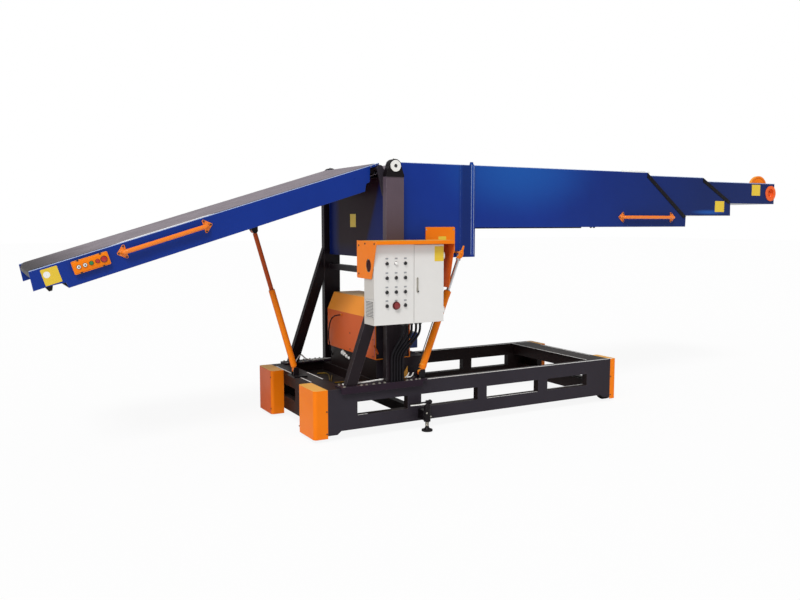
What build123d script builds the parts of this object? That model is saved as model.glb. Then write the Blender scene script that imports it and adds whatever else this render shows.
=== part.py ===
from build123d import *
import math
import os

# Telescopic belt conveyor on a low ladder frame that rolls sideways on four wheels.
# Lengths are millimetres. While a piece is made, X runs along the boom from the left end
# of the base, Y runs away from the operator's side, and Z is height above the floor.
# The finished pieces are set about the middle of the machine's footprint.

# Base frame
base_length = 2890
base_width = 1200
base_top = 383
rail_width = 60
rail_bottom = 70
window_bottom = 173
window_top = 273
cut_overrun = 2
left_cover_depth = 108
left_cover_width = 305
right_cover_depth = 62
right_cover_width = 233
cover_bottom = 25
cover_sheet = 4
left_cover_bend = 26
right_cover_bend = 14
leg_length = 75
leg_bottom = 45
leg_chamfer = 30
side_window_starts = (344, 888, 1500, 2122)
side_window_ends = (769, 1412, 2023, 2558)
end_post_width = 90
cross_height = 80
cross_width = 60
upper_cross_places = (560, 800)
lower_cross_places = (860,)
end_sheet = 8
left_shelf_depth = 77
left_shelf_lip = 60
right_shelf_depth = 150
right_shelf_lip = 103
right_sill_depth = 80
right_sill_lip = 113
right_end_post = 195
tray_sheet = 6

# Wheels
wheel_radius = 100
wheel_width = 40
wheel_groove = 6
wheel_rim_width = 30
axle_radius = 15
axle_collar = 26
axle_collar_length = 6
wheel_setback = 60
running_gap = 0.3

# Side beds that carry the posts
bed_start = 206
bed_end = 925
bed_lip_end = 885
bed_overhang = 30
bed_plate = 12
bed_lip = 38
bed_width = 120

# Posts, braces and tie
post_centre = 660
post_width = 147
post_depth = 55
post_height = 1523
brace_foot = 296
brace_angle = 71
brace_width = 86
brace_depth = 50
tie_width = 60
tie_drop = 129
tie_height = 47

# Main pivot and its bearing blocks
bearing_rise = 80
pivot_radius = 25
block_head_radius = 50
block_base_height = 16
block_overhang = 5
ring_radius = 42
ring_bore = 14
ring_depth = 7
shaft_boss_radius = 34
shaft_boss_depth = 10

# Tail pivot plates on the inside of the posts
tail_pivot_x = 565
tail_pivot_drop = 19
tail_pin_radius = 12
tail_ear_radius = 26
tail_ear_plate = 12
tail_ear_length = 138
tail_ear_right = 700
tail_ear_shoulder = 18

# Boom, outer section
boom_inset = 75
boom_sheet = 6
boom_start = 630
boom_rise = 32
beam_depth = 485
deep_end = 1422
deep_drop = 232
slant_top_x = 3291
slant_bottom_x = 3801
slant_bottom_rise = 97
boom_front = 3797
belt_drop = 16
bed_sheet = 3
belt_thickness = 4
belt_margin = 12
boom_roller_radius = 30
boom_roller_x = 715
end_panel_drop = 105
nest_gap = 6

# Folded rib at the front of the deep box
seam_x = 1280
seam_step = 2
rib_start = 1304
rib_crest_start = 1374
rib_crest_end = 1398
rib_height = 14
rib_cap_height = 26
rib_cap_flare = 8

# Second section
section_2_inset = 95
section_2_sheet = 5
section_2_rear = 1480
section_2_slant_x = 4041
section_2_slant_bottom_x = 4436
section_2_slant_rise = 137
section_2_front = 4440
section_2_belt_drop = 24
carrier_space_2 = 99

# Third section
section_3_inset = 114
section_3_sheet = 4
section_3_rear = 1560
section_3_front = 5115
carrier_space_3 = 115
belt_3_margin = 32
nose_setback = 61
nose_top_gap = 20
nose_bottom_gap = 30
nose_ring_wall = 24
nose_ring_proud = 8
nose_cup_wall = 4
nose_cup_gap = 5
rear_drum_setback = 100

# Round orange discs inside the tip's side plates
disc_x = 4876
disc_rise = 74
disc_radius = 128
disc_thickness = 26
disc_dish_radius = 112
disc_dish_depth = 6
disc_hub_radius = 24

# Rollers that carry one section inside the next
carrier_length = 60
carrier_setback = 110
carrier_gap = 0.5
carrier_pin_radius = 12

# Tail conveyor, measured along its own length from its pivot
tail_slope = 17.1
tail_inset = 130
tail_sheet = 6
tail_tip = 2464
tail_plate_top = 34
tail_depth = 168
tail_roller_radius = 36
tail_belt_thickness = 5
tail_belt_gap = 6
tail_tip_roller = 2424
tail_pan = 3
tail_lug_length = 180
tail_lug_depth = 12

# Stepped upper end and notched lower end of the tail's side plates
tail_guard_end = 40
tail_guard_depth = 16
tail_end_top = 42
tail_end_mid = 74
tail_end_mid_drop = 78
tail_end_step = 107
tail_end_step_drop = 85
tail_end_low = 132
tail_tip_low = 2478
tail_tip_low_drop = 87
tail_notch_tip = 2387
tail_notch_step = 2286
tail_notch_step_drop = 96
tail_notch_end = 2281

# Rubber feet under the tail's tip
tail_foot_start = 2408
tail_foot_length = 46
tail_foot_taper = 13
tail_foot_width = 40
tail_foot_depth = 30

# Lift cylinders
lift_foot_x = 897
foot_rise = 42
lift_head_x = 1252
lift_head_rise = 32
lift_line = 27.5
barrel_radius = 27
barrel_length = 660
barrel_cap_radius = 27.4
barrel_cap_length = 46
rod_radius = 14
lift_pin_radius = 12
bore_start_share = 0.14
piston_share = 0.45

# Tail strut
strut_foot_x = 92
strut_head_u = 884
strut_head_drop = 68
strut_barrel_radius = 24
strut_barrel_length = 660
strut_rod_radius = 17

# Cylinder eyes and clevises
lift_eye_radius = 24
lift_eye_width = 26
strut_eye_radius = 22
strut_eye_width = 30
bracket_reach = 44
pin_head = 5
swing_gap = 7
clevis_plate = 10
clevis_gap = 2
foot_plate_overhang = 34
foot_plate_width = 140

# Cabinet
cabinet_left = 389
cabinet_width = 579
cabinet_bottom = 853
cabinet_height = 574
cabinet_depth = 155
cabinet_back = -30
cabinet_sheet = 3
door_split = 714
door_gap = 3
door_thickness = 18
door_clearance = 6
hinge_offset = 7
hinge_pin_radius = 4
hinge_pin_reach = 8
hinge_length = 30
hinge_inset = 70
hinge_gap = 0.5
hinge_arm_reach = 10
hinge_leaf = 2.5
spacer_inset = 60
spacer_height = 50
spacer_width = 120
button_columns = (492, 567, 642)
button_rows = (1293, 1190, 1088, 990)
selector_radius = 14
selector_depth = 16
stop_radius = 24
stop_depth = 26
stop_stem_radius = 13
stop_head_depth = 12

# Rain hood over the cabinet
hood_gap = 4
hood_sheet = 3
hood_rise = 28
hood_lip = 26
hood_front = -235
hood_rake = 75
hood_back = 76
hood_right = 1033
hood_left_bottom = 1183
hood_right_bottom = 1100
hood_corner = 14
hood_hole_y = -111
hood_hole_z = 1278
hood_hole_half_width = 40
hood_hole_half_height = 48

# Hoses from the cabinet down the near post to the bed
hose_radius = 9
hose_tops = (668, 706, 744, 782, 816)
hose_feet = (622, 646, 670, 694, 718)
hose_top_y = -100
hose_straight = 88
hose_bend_bottom = 600
hose_bend_radius = 130
hose_clearance = 4

# Power unit
cover_left = 550
cover_right = 850
cover_near = 110
cover_far_setback = 200
unit_base_height = 166
cover_clearance = 186
cover_fold_drop = 139
cover_slope_run = 61
unit_cover_sheet = 5
core_setback = 15
unit_base_inset = 20
unit_base_right = 1000
motor_length = 287
motor_width = 200
motor_side_step = 20
motor_height = 127
motor_round = 14

# Cable on the power unit's cover: x, y and share of the height from its entry to its grommet
cable_radius = 5
cable_entry_rise = 79
cable_grommet_drop = 28
cable_route = (
    (550, 731, 1),
    (502, 741, 0.984),
    (499, 808, 0.905),
    (507, 870, 0.741),
    (517, 912, 0.546),
    (530, 936, 0.346),
    (545, 946, 0.151),
    (570, 948, 0),
)
grommet_radius = 11
grommet_depth = 6

# Grab handles
handle_radius = 15
handle_stand_off = 36
handle_bend = 26
handle_plate = 5
handle_reach = 42
handle_plate_back = 24
handle_plate_height = 112
handle_plate_corner = 9
tail_handle_start = 1905
tail_handle_end = 1335
tail_handle_drop = 24
boom_handle_start = 2990
boom_handle_end = 3615
boom_handle_rise = 86

# Control box on the tail
panel_box_start = 2222
panel_box_length = 225
panel_box_height = 84
panel_box_top = 15
panel_box_depth = 24
panel_box_corner = 8
panel_button_places = (35, 74, 113, 152, 192)
panel_button_radius = 12
panel_button_depth = 10

# Orange plates on the deep box
side_plate_left = 963
side_plate_right = 1228
side_plate_rise = 34
side_plate_height = 203
side_plate_sheet = 8
side_plate_corner = 10

# Levelling jack
jack_x = 888
jack_y = -88
jack_sleeve_radius = 26
jack_sleeve_bottom = 80
jack_sleeve_top = 204
jack_arm_width = 60
jack_arm_bottom = 90
jack_arm_top = 165
jack_screw_radius = 13
jack_foot_bottom = 6
jack_top = 240
jack_pad_radius = 42
jack_pad_height = 12
jack_cone_radius = 25
jack_cone_height = 24
jack_bar_radius = 6
jack_bar_left = 735
jack_bar_right = 912
jack_bar_drop = 12
jack_knob_radius = 18

# Places that follow from the sizes above
half_width = base_width / 2
side_windows = list(zip(side_window_starts, side_window_ends))
bed_top = base_top + bed_plate
post_top = bed_top + post_height
pivot_x = post_centre
pivot_z = post_top + bearing_rise
tail_pivot_z = pivot_z - tail_pivot_drop
boom_top = pivot_z + boom_rise
beam_bottom = boom_top - beam_depth
deep_bottom = beam_bottom - deep_drop
boom_bed_top = boom_top - belt_drop
section_2_top = boom_bed_top - bed_sheet - nest_gap
section_2_bottom = beam_bottom + boom_sheet + carrier_space_2
section_2_bed_top = section_2_top - section_2_belt_drop
section_3_top = section_2_bed_top - bed_sheet - nest_gap
section_3_bottom = section_2_bottom + section_2_sheet + carrier_space_3
nose_radius = (section_3_top - section_3_bottom - nose_top_gap - nose_bottom_gap) / 2
nose_x = section_3_front - nose_setback
nose_z = section_3_bottom + nose_bottom_gap + nose_radius
tail_bottom = tail_plate_top - tail_depth
lift_foot_z = bed_top + foot_rise
lift_head_z = deep_bottom + lift_head_rise
strut_foot_z = bed_top + foot_rise
cover_low = base_top + unit_base_height
tie_bottom = deep_bottom - tie_drop
cover_top = tie_bottom - cover_clearance


def block(x_from, x_to, y_from, y_to, z_from, z_to):
    """A square block between two opposite corners."""
    size = Box(x_to - x_from, y_to - y_from, z_to - z_from, align=(Align.MIN, Align.MIN, Align.MIN))
    return Pos(x_from, y_from, z_from) * size


def side_cut(outline, y_from, y_to):
    """A plate with an outline of (x, z) points, from one y to another."""
    corners = [(x, y_from, z) for x, z in outline]
    return extrude(make_face(Polyline(*corners, close=True)), y_to - y_from, dir=(0, 1, 0))


def end_cut(outline, x_from, x_to):
    """A piece with an outline of (y, z) points, from one x to another."""
    corners = [(x_from, y, z) for y, z in outline]
    return extrude(make_face(Polyline(*corners, close=True)), x_to - x_from, dir=(1, 0, 0))


def bar_y(x, z, radius, y_from, y_to):
    """A round bar along Y."""
    ring = Plane(origin=(x, y_from, z), z_dir=(0, 1, 0)) * Circle(radius)
    return extrude(ring, y_to - y_from, dir=(0, 1, 0))


def bar_x(y, z, radius, x_from, x_to):
    """A round bar along X."""
    ring = Plane(origin=(x_from, y, z), z_dir=(1, 0, 0)) * Circle(radius)
    return extrude(ring, x_to - x_from, dir=(1, 0, 0))


def bar_z(x, y, radius, z_from, z_to):
    """A round bar along Z."""
    return Pos(x, y, z_from) * Cylinder(radius, z_to - z_from, align=(Align.CENTER, Align.CENTER, Align.MIN))


def bar_between(start, end, radius):
    """A round bar from one point to another."""
    run = Vector(*end) - Vector(*start)
    ring = Plane(origin=start, z_dir=run) * Circle(radius)
    return extrude(ring, run.length, dir=run)


def bent_tube(points, bends, radius):
    """A round tube along straight runs joined by arcs, with a bend radius for each corner."""
    path = FilletPolyline(*points, radius=bends)
    ring = Plane(origin=points[0], z_dir=path % 0) * Circle(radius)
    return sweep(ring, path=path)


def mirrored(piece):
    """The same piece on the far side of the machine."""
    return mirror(piece, Plane.XZ.offset(-half_width))


def both_sides(piece):
    """A piece on the near side with its like on the far side."""
    return [piece, mirrored(piece)]


def loop_belt(start, end, radius, thickness, y_from, y_to):
    """A belt round two equal rollers, given by their centres as (x, z)."""
    span = math.dist(start, end)
    lean = -math.degrees(math.atan2(end[1] - start[1], end[0] - start[0]))
    middle_x = (start[0] + end[0]) / 2
    middle_z = (start[1] + end[1]) / 2
    flat = Plane(origin=(0, y_from, 0), x_dir=(1, 0, 0), z_dir=(0, 1, 0))
    outer = SlotCenterToCenter(span, 2 * (radius + thickness))
    inner = SlotCenterToCenter(span, 2 * radius)
    belt = extrude(flat * (outer - inner), y_to - y_from, dir=(0, 1, 0))
    return Pos(middle_x, 0, middle_z) * Rot(0, lean, 0) * belt


nodes = {}


def keep(name, *pieces):
    """Keep one or more solids as a named piece of the machine."""
    solids = []
    for piece in pieces:
        solids.extend(piece.solids())
    nodes[name] = solids


# Base: side frames with their windows

frame_left = left_cover_depth
frame_right = base_length - right_cover_depth
side_outline = [
    (frame_left, base_top),
    (frame_left, leg_bottom),
    (frame_left + leg_length, leg_bottom),
    (frame_left + leg_length + leg_chamfer, rail_bottom),
    (frame_right - leg_length - leg_chamfer, rail_bottom),
    (frame_right - leg_length, leg_bottom),
    (frame_right, leg_bottom),
    (frame_right, base_top),
]
side_frame = side_cut(side_outline, 0, rail_width)
for window_start, window_end in side_windows:
    side_frame -= block(window_start, window_end, -cut_overrun, rail_width + cut_overrun, window_bottom, window_top)
keep("side_frames", *both_sides(side_frame))

# Base: end frames between the side frames, and cross members

inner_near = rail_width
inner_far = base_width - rail_width


def end_frame(x_from, x_to, side_post):
    """An end frame with two windows between its posts."""
    frame = block(x_from, x_to, inner_near, inner_far, rail_bottom, base_top)
    bays = [
        (inner_near + side_post, half_width - end_post_width / 2),
        (half_width + end_post_width / 2, inner_far - side_post),
    ]
    for bay_start, bay_end in bays:
        frame -= block(x_from - cut_overrun, x_to + cut_overrun, bay_start, bay_end, window_bottom, window_top)
    return frame


left_rail_inside = frame_left + rail_width
left_shelf_edge = left_rail_inside + left_shelf_depth
left_end_frame = end_frame(frame_left, left_rail_inside, end_post_width)
left_end_frame += block(
    left_rail_inside, left_shelf_edge, inner_near, inner_far, base_top - end_sheet, base_top
)
left_end_frame += block(
    left_shelf_edge - end_sheet, left_shelf_edge, inner_near, inner_far, base_top - left_shelf_lip, base_top
)

# The right end frame has a deep shelf on top and a sill below, each with a turned lip

right_rail_inside = frame_right - rail_width
right_shelf_edge = right_rail_inside - right_shelf_depth
right_sill_edge = right_rail_inside - right_sill_depth
right_end_frame = end_frame(right_rail_inside, frame_right, right_end_post)
right_end_frame += block(
    right_shelf_edge, right_rail_inside, inner_near, inner_far, base_top - end_sheet, base_top
)
right_end_frame += block(
    right_shelf_edge, right_shelf_edge + end_sheet, inner_near, inner_far, base_top - right_shelf_lip, base_top
)
right_end_frame += block(
    right_sill_edge, right_rail_inside, inner_near, inner_far, rail_bottom, rail_bottom + end_sheet
)
right_end_frame += block(
    right_sill_edge, right_sill_edge + end_sheet, inner_near, inner_far, rail_bottom, rail_bottom + right_sill_lip
)
keep("end_frames", left_end_frame, right_end_frame)
crosses = []
for place in upper_cross_places:
    crosses.append(block(place, place + cross_width, inner_near, inner_far, base_top - cross_height, base_top))
for place in lower_cross_places:
    crosses.append(block(place, place + cross_width, inner_near, inner_far, rail_bottom, rail_bottom + cross_height))
keep("cross_members", *crosses)

# Floor tray between the left end frame and the first cross member

tray_bottom = base_top - cross_height
floor_tray = block(
    left_rail_inside, upper_cross_places[0], inner_near, inner_far, tray_bottom, tray_bottom + tray_sheet
)
keep("floor_tray", floor_tray)

# Wheel covers: sheet with bent corners, open below and towards the frame


def wheel_cover(depth, width, bend):
    """A cover at the near left corner: half of a rounded box, with its inside cut out."""
    outline = RectangleRounded(2 * depth, width, bend)
    inside = RectangleRounded(2 * (depth - cover_sheet), width - 2 * cover_sheet, bend - cover_sheet)
    height = base_top - cover_bottom
    cover = extrude(outline, height, dir=(0, 0, 1)) - extrude(inside, height - cover_sheet, dir=(0, 0, 1))
    frame_side = block(0, depth + cut_overrun, -width, width, -cut_overrun, height + cut_overrun)
    return Pos(depth, width / 2, cover_bottom) * (cover - frame_side)


left_cover = wheel_cover(left_cover_depth, left_cover_width, left_cover_bend)
right_cover = wheel_cover(right_cover_depth, right_cover_width, right_cover_bend)
right_cover = mirror(right_cover, Plane.YZ.offset(base_length / 2))
keep("wheel_covers", *both_sides(left_cover), *both_sides(right_cover))

# Wheels and their axles

left_wheel_x = wheel_setback
right_wheel_x = base_length - right_cover_depth / 2
left_wheel_y = left_cover_width / 2
right_wheel_y = right_cover_width / 2
wheel_places = [
    ("left_near", left_wheel_x, left_wheel_y),
    ("left_far", left_wheel_x, base_width - left_wheel_y),
    ("right_near", right_wheel_x, right_wheel_y),
    ("right_far", right_wheel_x, base_width - right_wheel_y),
]
left_axle_end = left_wheel_x - wheel_width / 2 - axle_collar_length - running_gap
right_axle_end = right_wheel_x + wheel_width / 2 + axle_collar_length + running_gap
axles = []
for wheel_name, wheel_x, wheel_y in wheel_places:
    low = wheel_x - wheel_width / 2
    high = wheel_x + wheel_width / 2
    rim_radius = wheel_radius - wheel_rim_width
    wheel = bar_x(wheel_y, wheel_radius, wheel_radius, low, high)
    groove = bar_x(wheel_y, wheel_radius, rim_radius, low, low + wheel_groove)
    groove += bar_x(wheel_y, wheel_radius, rim_radius, high - wheel_groove, high)
    hub = bar_x(wheel_y, wheel_radius, axle_collar, low, high)
    wheel = wheel - groove + hub - bar_x(wheel_y, wheel_radius, axle_radius + running_gap, low, high)
    keep("wheel_" + wheel_name, wheel)
    if wheel_x < base_length / 2:
        axle = bar_x(wheel_y, wheel_radius, axle_radius, left_axle_end, frame_left)
        axle += bar_x(wheel_y, wheel_radius, axle_collar, left_axle_end, low - running_gap)
        axle += bar_x(wheel_y, wheel_radius, axle_collar, high + running_gap, frame_left)
    else:
        axle = bar_x(wheel_y, wheel_radius, axle_radius, frame_right, right_axle_end)
        axle += bar_x(wheel_y, wheel_radius, axle_collar, high + running_gap, right_axle_end)
        axle += bar_x(wheel_y, wheel_radius, axle_collar, frame_right, low - running_gap)
    axles.append(axle)
keep("wheel_axles", *axles)

# Side beds on the side frames

bed = block(bed_start, bed_end, -bed_overhang, bed_width - bed_overhang, base_top, bed_top)
bed += block(bed_start, bed_lip_end, -bed_overhang, -bed_overhang + bed_plate, base_top - bed_lip, base_top)
keep("side_beds", *both_sides(bed))

# Posts, braces and the tie between the posts

post_left = post_centre - post_width / 2
post_right = post_centre + post_width / 2
post = block(post_left, post_right, 0, post_depth, bed_top, post_top)
lean = math.tan(math.radians(brace_angle))
brace_flat = brace_width / math.sin(math.radians(brace_angle))
brace_left = brace_foot - brace_flat / 2
brace_right = brace_foot + brace_flat / 2
brace_outline = [
    (brace_left, bed_top),
    (brace_right, bed_top),
    (post_left, bed_top + (post_left - brace_right) * lean),
    (post_left, bed_top + (post_left - brace_left) * lean),
]
brace = side_cut(brace_outline, 0, brace_depth)
tie = block(
    post_centre - tie_width / 2,
    post_centre + tie_width / 2,
    post_depth,
    base_width - post_depth,
    tie_bottom,
    tie_bottom + tie_height,
)
keep("post_frames", tie + both_sides(post + brace))

# Bearing blocks and their end rings

block_outline = [
    (post_left, post_top),
    (post_right, post_top),
    (post_right, post_top + block_base_height),
    (pivot_x + block_head_radius, pivot_z),
    (pivot_x - block_head_radius, pivot_z),
    (post_left, post_top + block_base_height),
]
bearing = side_cut(block_outline, -block_overhang, post_depth)
bearing += bar_y(pivot_x, pivot_z, block_head_radius, -block_overhang, post_depth)
bearing -= bar_y(pivot_x, pivot_z, pivot_radius + running_gap, -block_overhang, post_depth)
keep("bearing_blocks", *both_sides(bearing))
ring_start = -block_overhang - ring_depth
ring = bar_y(pivot_x, pivot_z, ring_radius, ring_start, -block_overhang)
ring -= bar_y(pivot_x, pivot_z, ring_bore, ring_start, -block_overhang)
keep("bearing_rings", *both_sides(ring))

# Tail pivot plates with their pins

ear_start = post_depth
ear_end = post_depth + tail_ear_plate
tail_pin_end = tail_inset + tail_sheet + tail_lug_depth + 2 * running_gap
tail_ear_bottom = post_top - tail_ear_length
tail_ear_top = post_top - tail_ear_shoulder
ear_outline = [
    (tail_pivot_x - tail_ear_radius, tail_pivot_z),
    (post_left, tail_ear_bottom),
    (tail_ear_right, tail_ear_bottom),
    (tail_ear_right, tail_ear_top),
    (tail_pivot_x + tail_ear_radius, tail_pivot_z),
]
ear = side_cut(ear_outline, ear_start, ear_end)
ear += bar_y(tail_pivot_x, tail_pivot_z, tail_ear_radius, ear_start, ear_end)
ear += bar_y(tail_pivot_x, tail_pivot_z, tail_pin_radius, ear_start, tail_pin_end)
keep("tail_pivot_plates", *both_sides(ear))

# Boom, outer section: side plates with their folded rib

boom_inner = boom_inset + boom_sheet
boom_outline = [
    (boom_start, deep_bottom),
    (deep_end, deep_bottom),
    (deep_end, beam_bottom),
    (boom_front, beam_bottom),
    (slant_bottom_x, beam_bottom + slant_bottom_rise),
    (slant_top_x, boom_top),
    (boom_start, boom_top),
]
boom_side = side_cut(boom_outline, boom_inset, boom_inner)
boom_side -= bar_y(pivot_x, pivot_z, pivot_radius, boom_inset, boom_inner)
rib_plan = [
    (seam_x, boom_inset),
    (seam_x, boom_inset - seam_step),
    (rib_start, boom_inset - seam_step),
    (rib_crest_start, boom_inset - rib_height),
    (rib_crest_end, boom_inset - rib_height),
    (deep_end, boom_inset),
]
rib_corners = [(x, y, deep_bottom) for x, y in rib_plan]
boom_side += extrude(make_face(Polyline(*rib_corners, close=True)), boom_top - deep_bottom, dir=(0, 0, 1))
rib_cap = [
    (rib_crest_start - rib_cap_flare, boom_top),
    (rib_crest_start, boom_top + rib_cap_height),
    (rib_crest_end, boom_top + rib_cap_height),
    (rib_crest_end + rib_cap_flare, boom_top),
]
boom_side += side_cut(rib_cap, boom_inset, boom_inner)
keep("boom_sides", *both_sides(boom_side))

# Boom, outer section: one folded sheet for the floor and the rear panel, and the belt bed

floor_outline = [
    (boom_start, boom_top - end_panel_drop),
    (boom_start, deep_bottom),
    (deep_end, deep_bottom),
    (deep_end, beam_bottom),
    (boom_front, beam_bottom),
    (boom_front, beam_bottom + boom_sheet),
    (deep_end - boom_sheet, beam_bottom + boom_sheet),
    (deep_end - boom_sheet, deep_bottom + boom_sheet),
    (boom_start + boom_sheet, deep_bottom + boom_sheet),
    (boom_start + boom_sheet, boom_top - end_panel_drop),
]
keep("boom_floor", side_cut(floor_outline, boom_inner, base_width - boom_inner))
boom_bed = block(
    boom_roller_x + boom_roller_radius,
    slant_top_x,
    boom_inner,
    base_width - boom_inner,
    boom_bed_top - bed_sheet,
    boom_bed_top,
)
keep("boom_bed", boom_bed)

# Pivot shaft stubs of the boom, each welded through its side plate

shaft_start = -block_overhang - ring_depth + running_gap
stub = bar_y(pivot_x, pivot_z, pivot_radius, -block_overhang, boom_inner)
stub += bar_y(pivot_x, pivot_z, ring_bore - running_gap, shaft_start, -block_overhang)
stub += bar_y(pivot_x, pivot_z, shaft_boss_radius, boom_inner, boom_inner + shaft_boss_depth)

# Belt of the outer section, turned down round its rear roller

belt_start = boom_inner + belt_margin
belt_end = base_width - belt_start
roller_z = boom_bed_top + running_gap - boom_roller_radius
belt_low = boom_bed_top + running_gap
boom_belt = block(boom_roller_x, slant_top_x, belt_start, belt_end, belt_low, belt_low + belt_thickness)
turn_radius = boom_roller_radius + belt_thickness
turn = bar_y(boom_roller_x, roller_z, turn_radius, belt_start, belt_end)
turn -= bar_y(boom_roller_x, roller_z, boom_roller_radius, belt_start, belt_end)
turn -= block(
    boom_roller_x,
    boom_roller_x + turn_radius + cut_overrun,
    belt_start,
    belt_end,
    roller_z - turn_radius - cut_overrun,
    roller_z + turn_radius + cut_overrun,
)
keep("boom_belt", boom_belt + turn)
boom_roller = bar_y(boom_roller_x, roller_z, boom_roller_radius - running_gap, belt_start, belt_end)
boom_roller += bar_y(boom_roller_x, roller_z, carrier_pin_radius, boom_inner, base_width - boom_inner)

# Sections two and three: side plates, floor and bed

section_2_inner = section_2_inset + section_2_sheet
section_2_outline = [
    (section_2_rear, section_2_bottom),
    (section_2_front, section_2_bottom),
    (section_2_slant_bottom_x, section_2_bottom + section_2_slant_rise),
    (section_2_slant_x, section_2_top),
    (section_2_rear, section_2_top),
]
keep("section_2_sides", *both_sides(side_cut(section_2_outline, section_2_inset, section_2_inner)))
section_2_floor = block(
    section_2_rear,
    section_2_front,
    section_2_inner,
    base_width - section_2_inner,
    section_2_bottom,
    section_2_bottom + section_2_sheet,
)
section_2_bed = block(
    section_2_rear,
    section_2_slant_x,
    section_2_inner,
    base_width - section_2_inner,
    section_2_bed_top - bed_sheet,
    section_2_bed_top,
)
keep("section_2_decks", section_2_floor, section_2_bed)
section_2_belt = block(
    section_2_rear,
    section_2_slant_x,
    section_2_inner + belt_margin,
    base_width - section_2_inner - belt_margin,
    section_2_bed_top + running_gap,
    section_2_bed_top + running_gap + belt_thickness,
)
keep("section_2_belt", section_2_belt)

section_3_inner = section_3_inset + section_3_sheet
section_3_side = block(
    section_3_rear, section_3_front, section_3_inset, section_3_inner, section_3_bottom, section_3_top
)
section_3_side -= bar_y(nose_x, nose_z, nose_radius - nose_ring_wall, section_3_inset, section_3_inner)
keep("section_3_sides", *both_sides(section_3_side))
section_3_floor = block(
    section_3_rear,
    section_3_front,
    section_3_inner,
    base_width - section_3_inner,
    section_3_bottom,
    section_3_bottom + section_3_sheet,
)
belt_3_start = section_3_inner + belt_3_margin
belt_3_end = base_width - belt_3_start
rear_drum_x = section_3_rear + rear_drum_setback
section_3_bed = block(
    rear_drum_x + nose_radius,
    disc_x - disc_radius - belt_3_margin,
    section_3_inner,
    base_width - section_3_inner,
    nose_z + nose_radius - running_gap - bed_sheet,
    nose_z + nose_radius - running_gap,
)
keep("section_3_decks", section_3_floor, section_3_bed)
belt_3 = loop_belt((rear_drum_x, nose_z), (nose_x, nose_z), nose_radius, belt_thickness, belt_3_start, belt_3_end)
keep("section_3_belt", belt_3)
cup_back = belt_3_start - nose_cup_gap
drums = []
for drum_x, pin_start in ((rear_drum_x, section_3_inner), (nose_x, cup_back)):
    drum = bar_y(drum_x, nose_z, nose_radius - running_gap, belt_3_start, belt_3_end)
    drum += bar_y(drum_x, nose_z, carrier_pin_radius, pin_start, base_width - pin_start)
    drums.append(drum)
keep("section_3_drums", *drums)

# Orange rings at the nose, each with a cup that closes it and carries the nose drum

ring_start = section_3_inset - nose_ring_proud
cup_radius = nose_radius - nose_ring_wall
nose_ring = bar_y(nose_x, nose_z, nose_radius, ring_start, section_3_inset)
nose_ring += bar_y(nose_x, nose_z, cup_radius, section_3_inset, cup_back)
nose_ring -= bar_y(nose_x, nose_z, cup_radius - nose_cup_wall, ring_start, cup_back - nose_cup_wall)
keep("nose_rings", *both_sides(nose_ring))

# Orange discs at the tip, each dished towards the operator's side and fixed to its side plate

disc_z = nose_z - nose_radius - nose_bottom_gap + disc_rise + disc_rise
disc = bar_y(disc_x, disc_z, disc_radius, section_3_inner, section_3_inner + disc_thickness)
disc -= bar_y(disc_x, disc_z, disc_dish_radius, section_3_inner, section_3_inner + disc_dish_depth)
disc += bar_y(disc_x, disc_z, disc_hub_radius, section_3_inner, section_3_inner + disc_dish_depth)
keep("tip_discs", *both_sides(disc))


def carrier(x, low, high, y_wall, y_from):
    """A carrier roller on the inside of a side plate, between two heights."""
    radius = (high - low) / 2 - carrier_gap
    middle = (high + low) / 2
    roller = bar_y(x, middle, radius, y_from, y_from + carrier_length)
    return roller + bar_y(x, middle, carrier_pin_radius, y_wall, y_from)


# Carrier rollers: the front pair is on the outer section, the rear pair on the inner one

front_2 = carrier(
    boom_front - carrier_setback,
    beam_bottom + boom_sheet,
    section_2_bottom,
    boom_inner,
    section_2_inner + belt_margin,
)
keep("boom_rollers", boom_roller, *both_sides(front_2))
front_3 = carrier(
    section_2_front - carrier_setback,
    section_2_bottom + section_2_sheet,
    section_3_bottom,
    section_2_inner,
    section_3_inner + belt_margin,
)
rear_2 = carrier(
    section_2_rear + carrier_setback,
    beam_bottom + boom_sheet,
    section_2_bottom,
    section_2_inset,
    section_2_inner + belt_margin,
)
rear_2 += block(
    section_2_rear + carrier_setback - carrier_pin_radius,
    section_2_rear + carrier_setback + carrier_pin_radius,
    section_2_inset,
    section_2_inner,
    (beam_bottom + boom_sheet + section_2_bottom) / 2,
    section_2_bottom,
)
keep("section_2_rollers", *both_sides(front_3), *both_sides(rear_2))
rear_3 = carrier(
    section_3_rear + carrier_setback,
    section_2_bottom + section_2_sheet,
    section_3_bottom,
    section_3_inset,
    section_3_inner + belt_margin,
)
rear_3 += block(
    section_3_rear + carrier_setback - carrier_pin_radius,
    section_3_rear + carrier_setback + carrier_pin_radius,
    section_3_inset,
    section_3_inner,
    (section_2_bottom + section_2_sheet + section_3_bottom) / 2,
    section_3_bottom,
)
keep("section_3_rollers", *both_sides(rear_3))

# Tail conveyor: made level about its pivot, then tilted

tail_inner = tail_inset + tail_sheet
tail_outline = [
    (-tail_tip, tail_plate_top),
    (tail_guard_end, tail_plate_top),
    (tail_guard_end, tail_plate_top - tail_guard_depth),
    (-tail_end_top, tail_plate_top - tail_guard_depth),
    (-tail_end_mid, -tail_end_mid_drop),
    (-tail_end_step, -tail_end_step_drop),
    (-tail_end_low, tail_bottom),
    (-tail_notch_end, tail_bottom),
    (-tail_notch_step, -tail_notch_step_drop),
    (-tail_notch_tip, -tail_tip_low_drop),
    (-tail_tip_low, -tail_tip_low_drop),
]


def tilted(piece):
    """A piece made level about the tail's pivot, set at its place and slope."""
    return Pos(tail_pivot_x, 0, tail_pivot_z) * Rot(0, -tail_slope, 0) * piece


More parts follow.
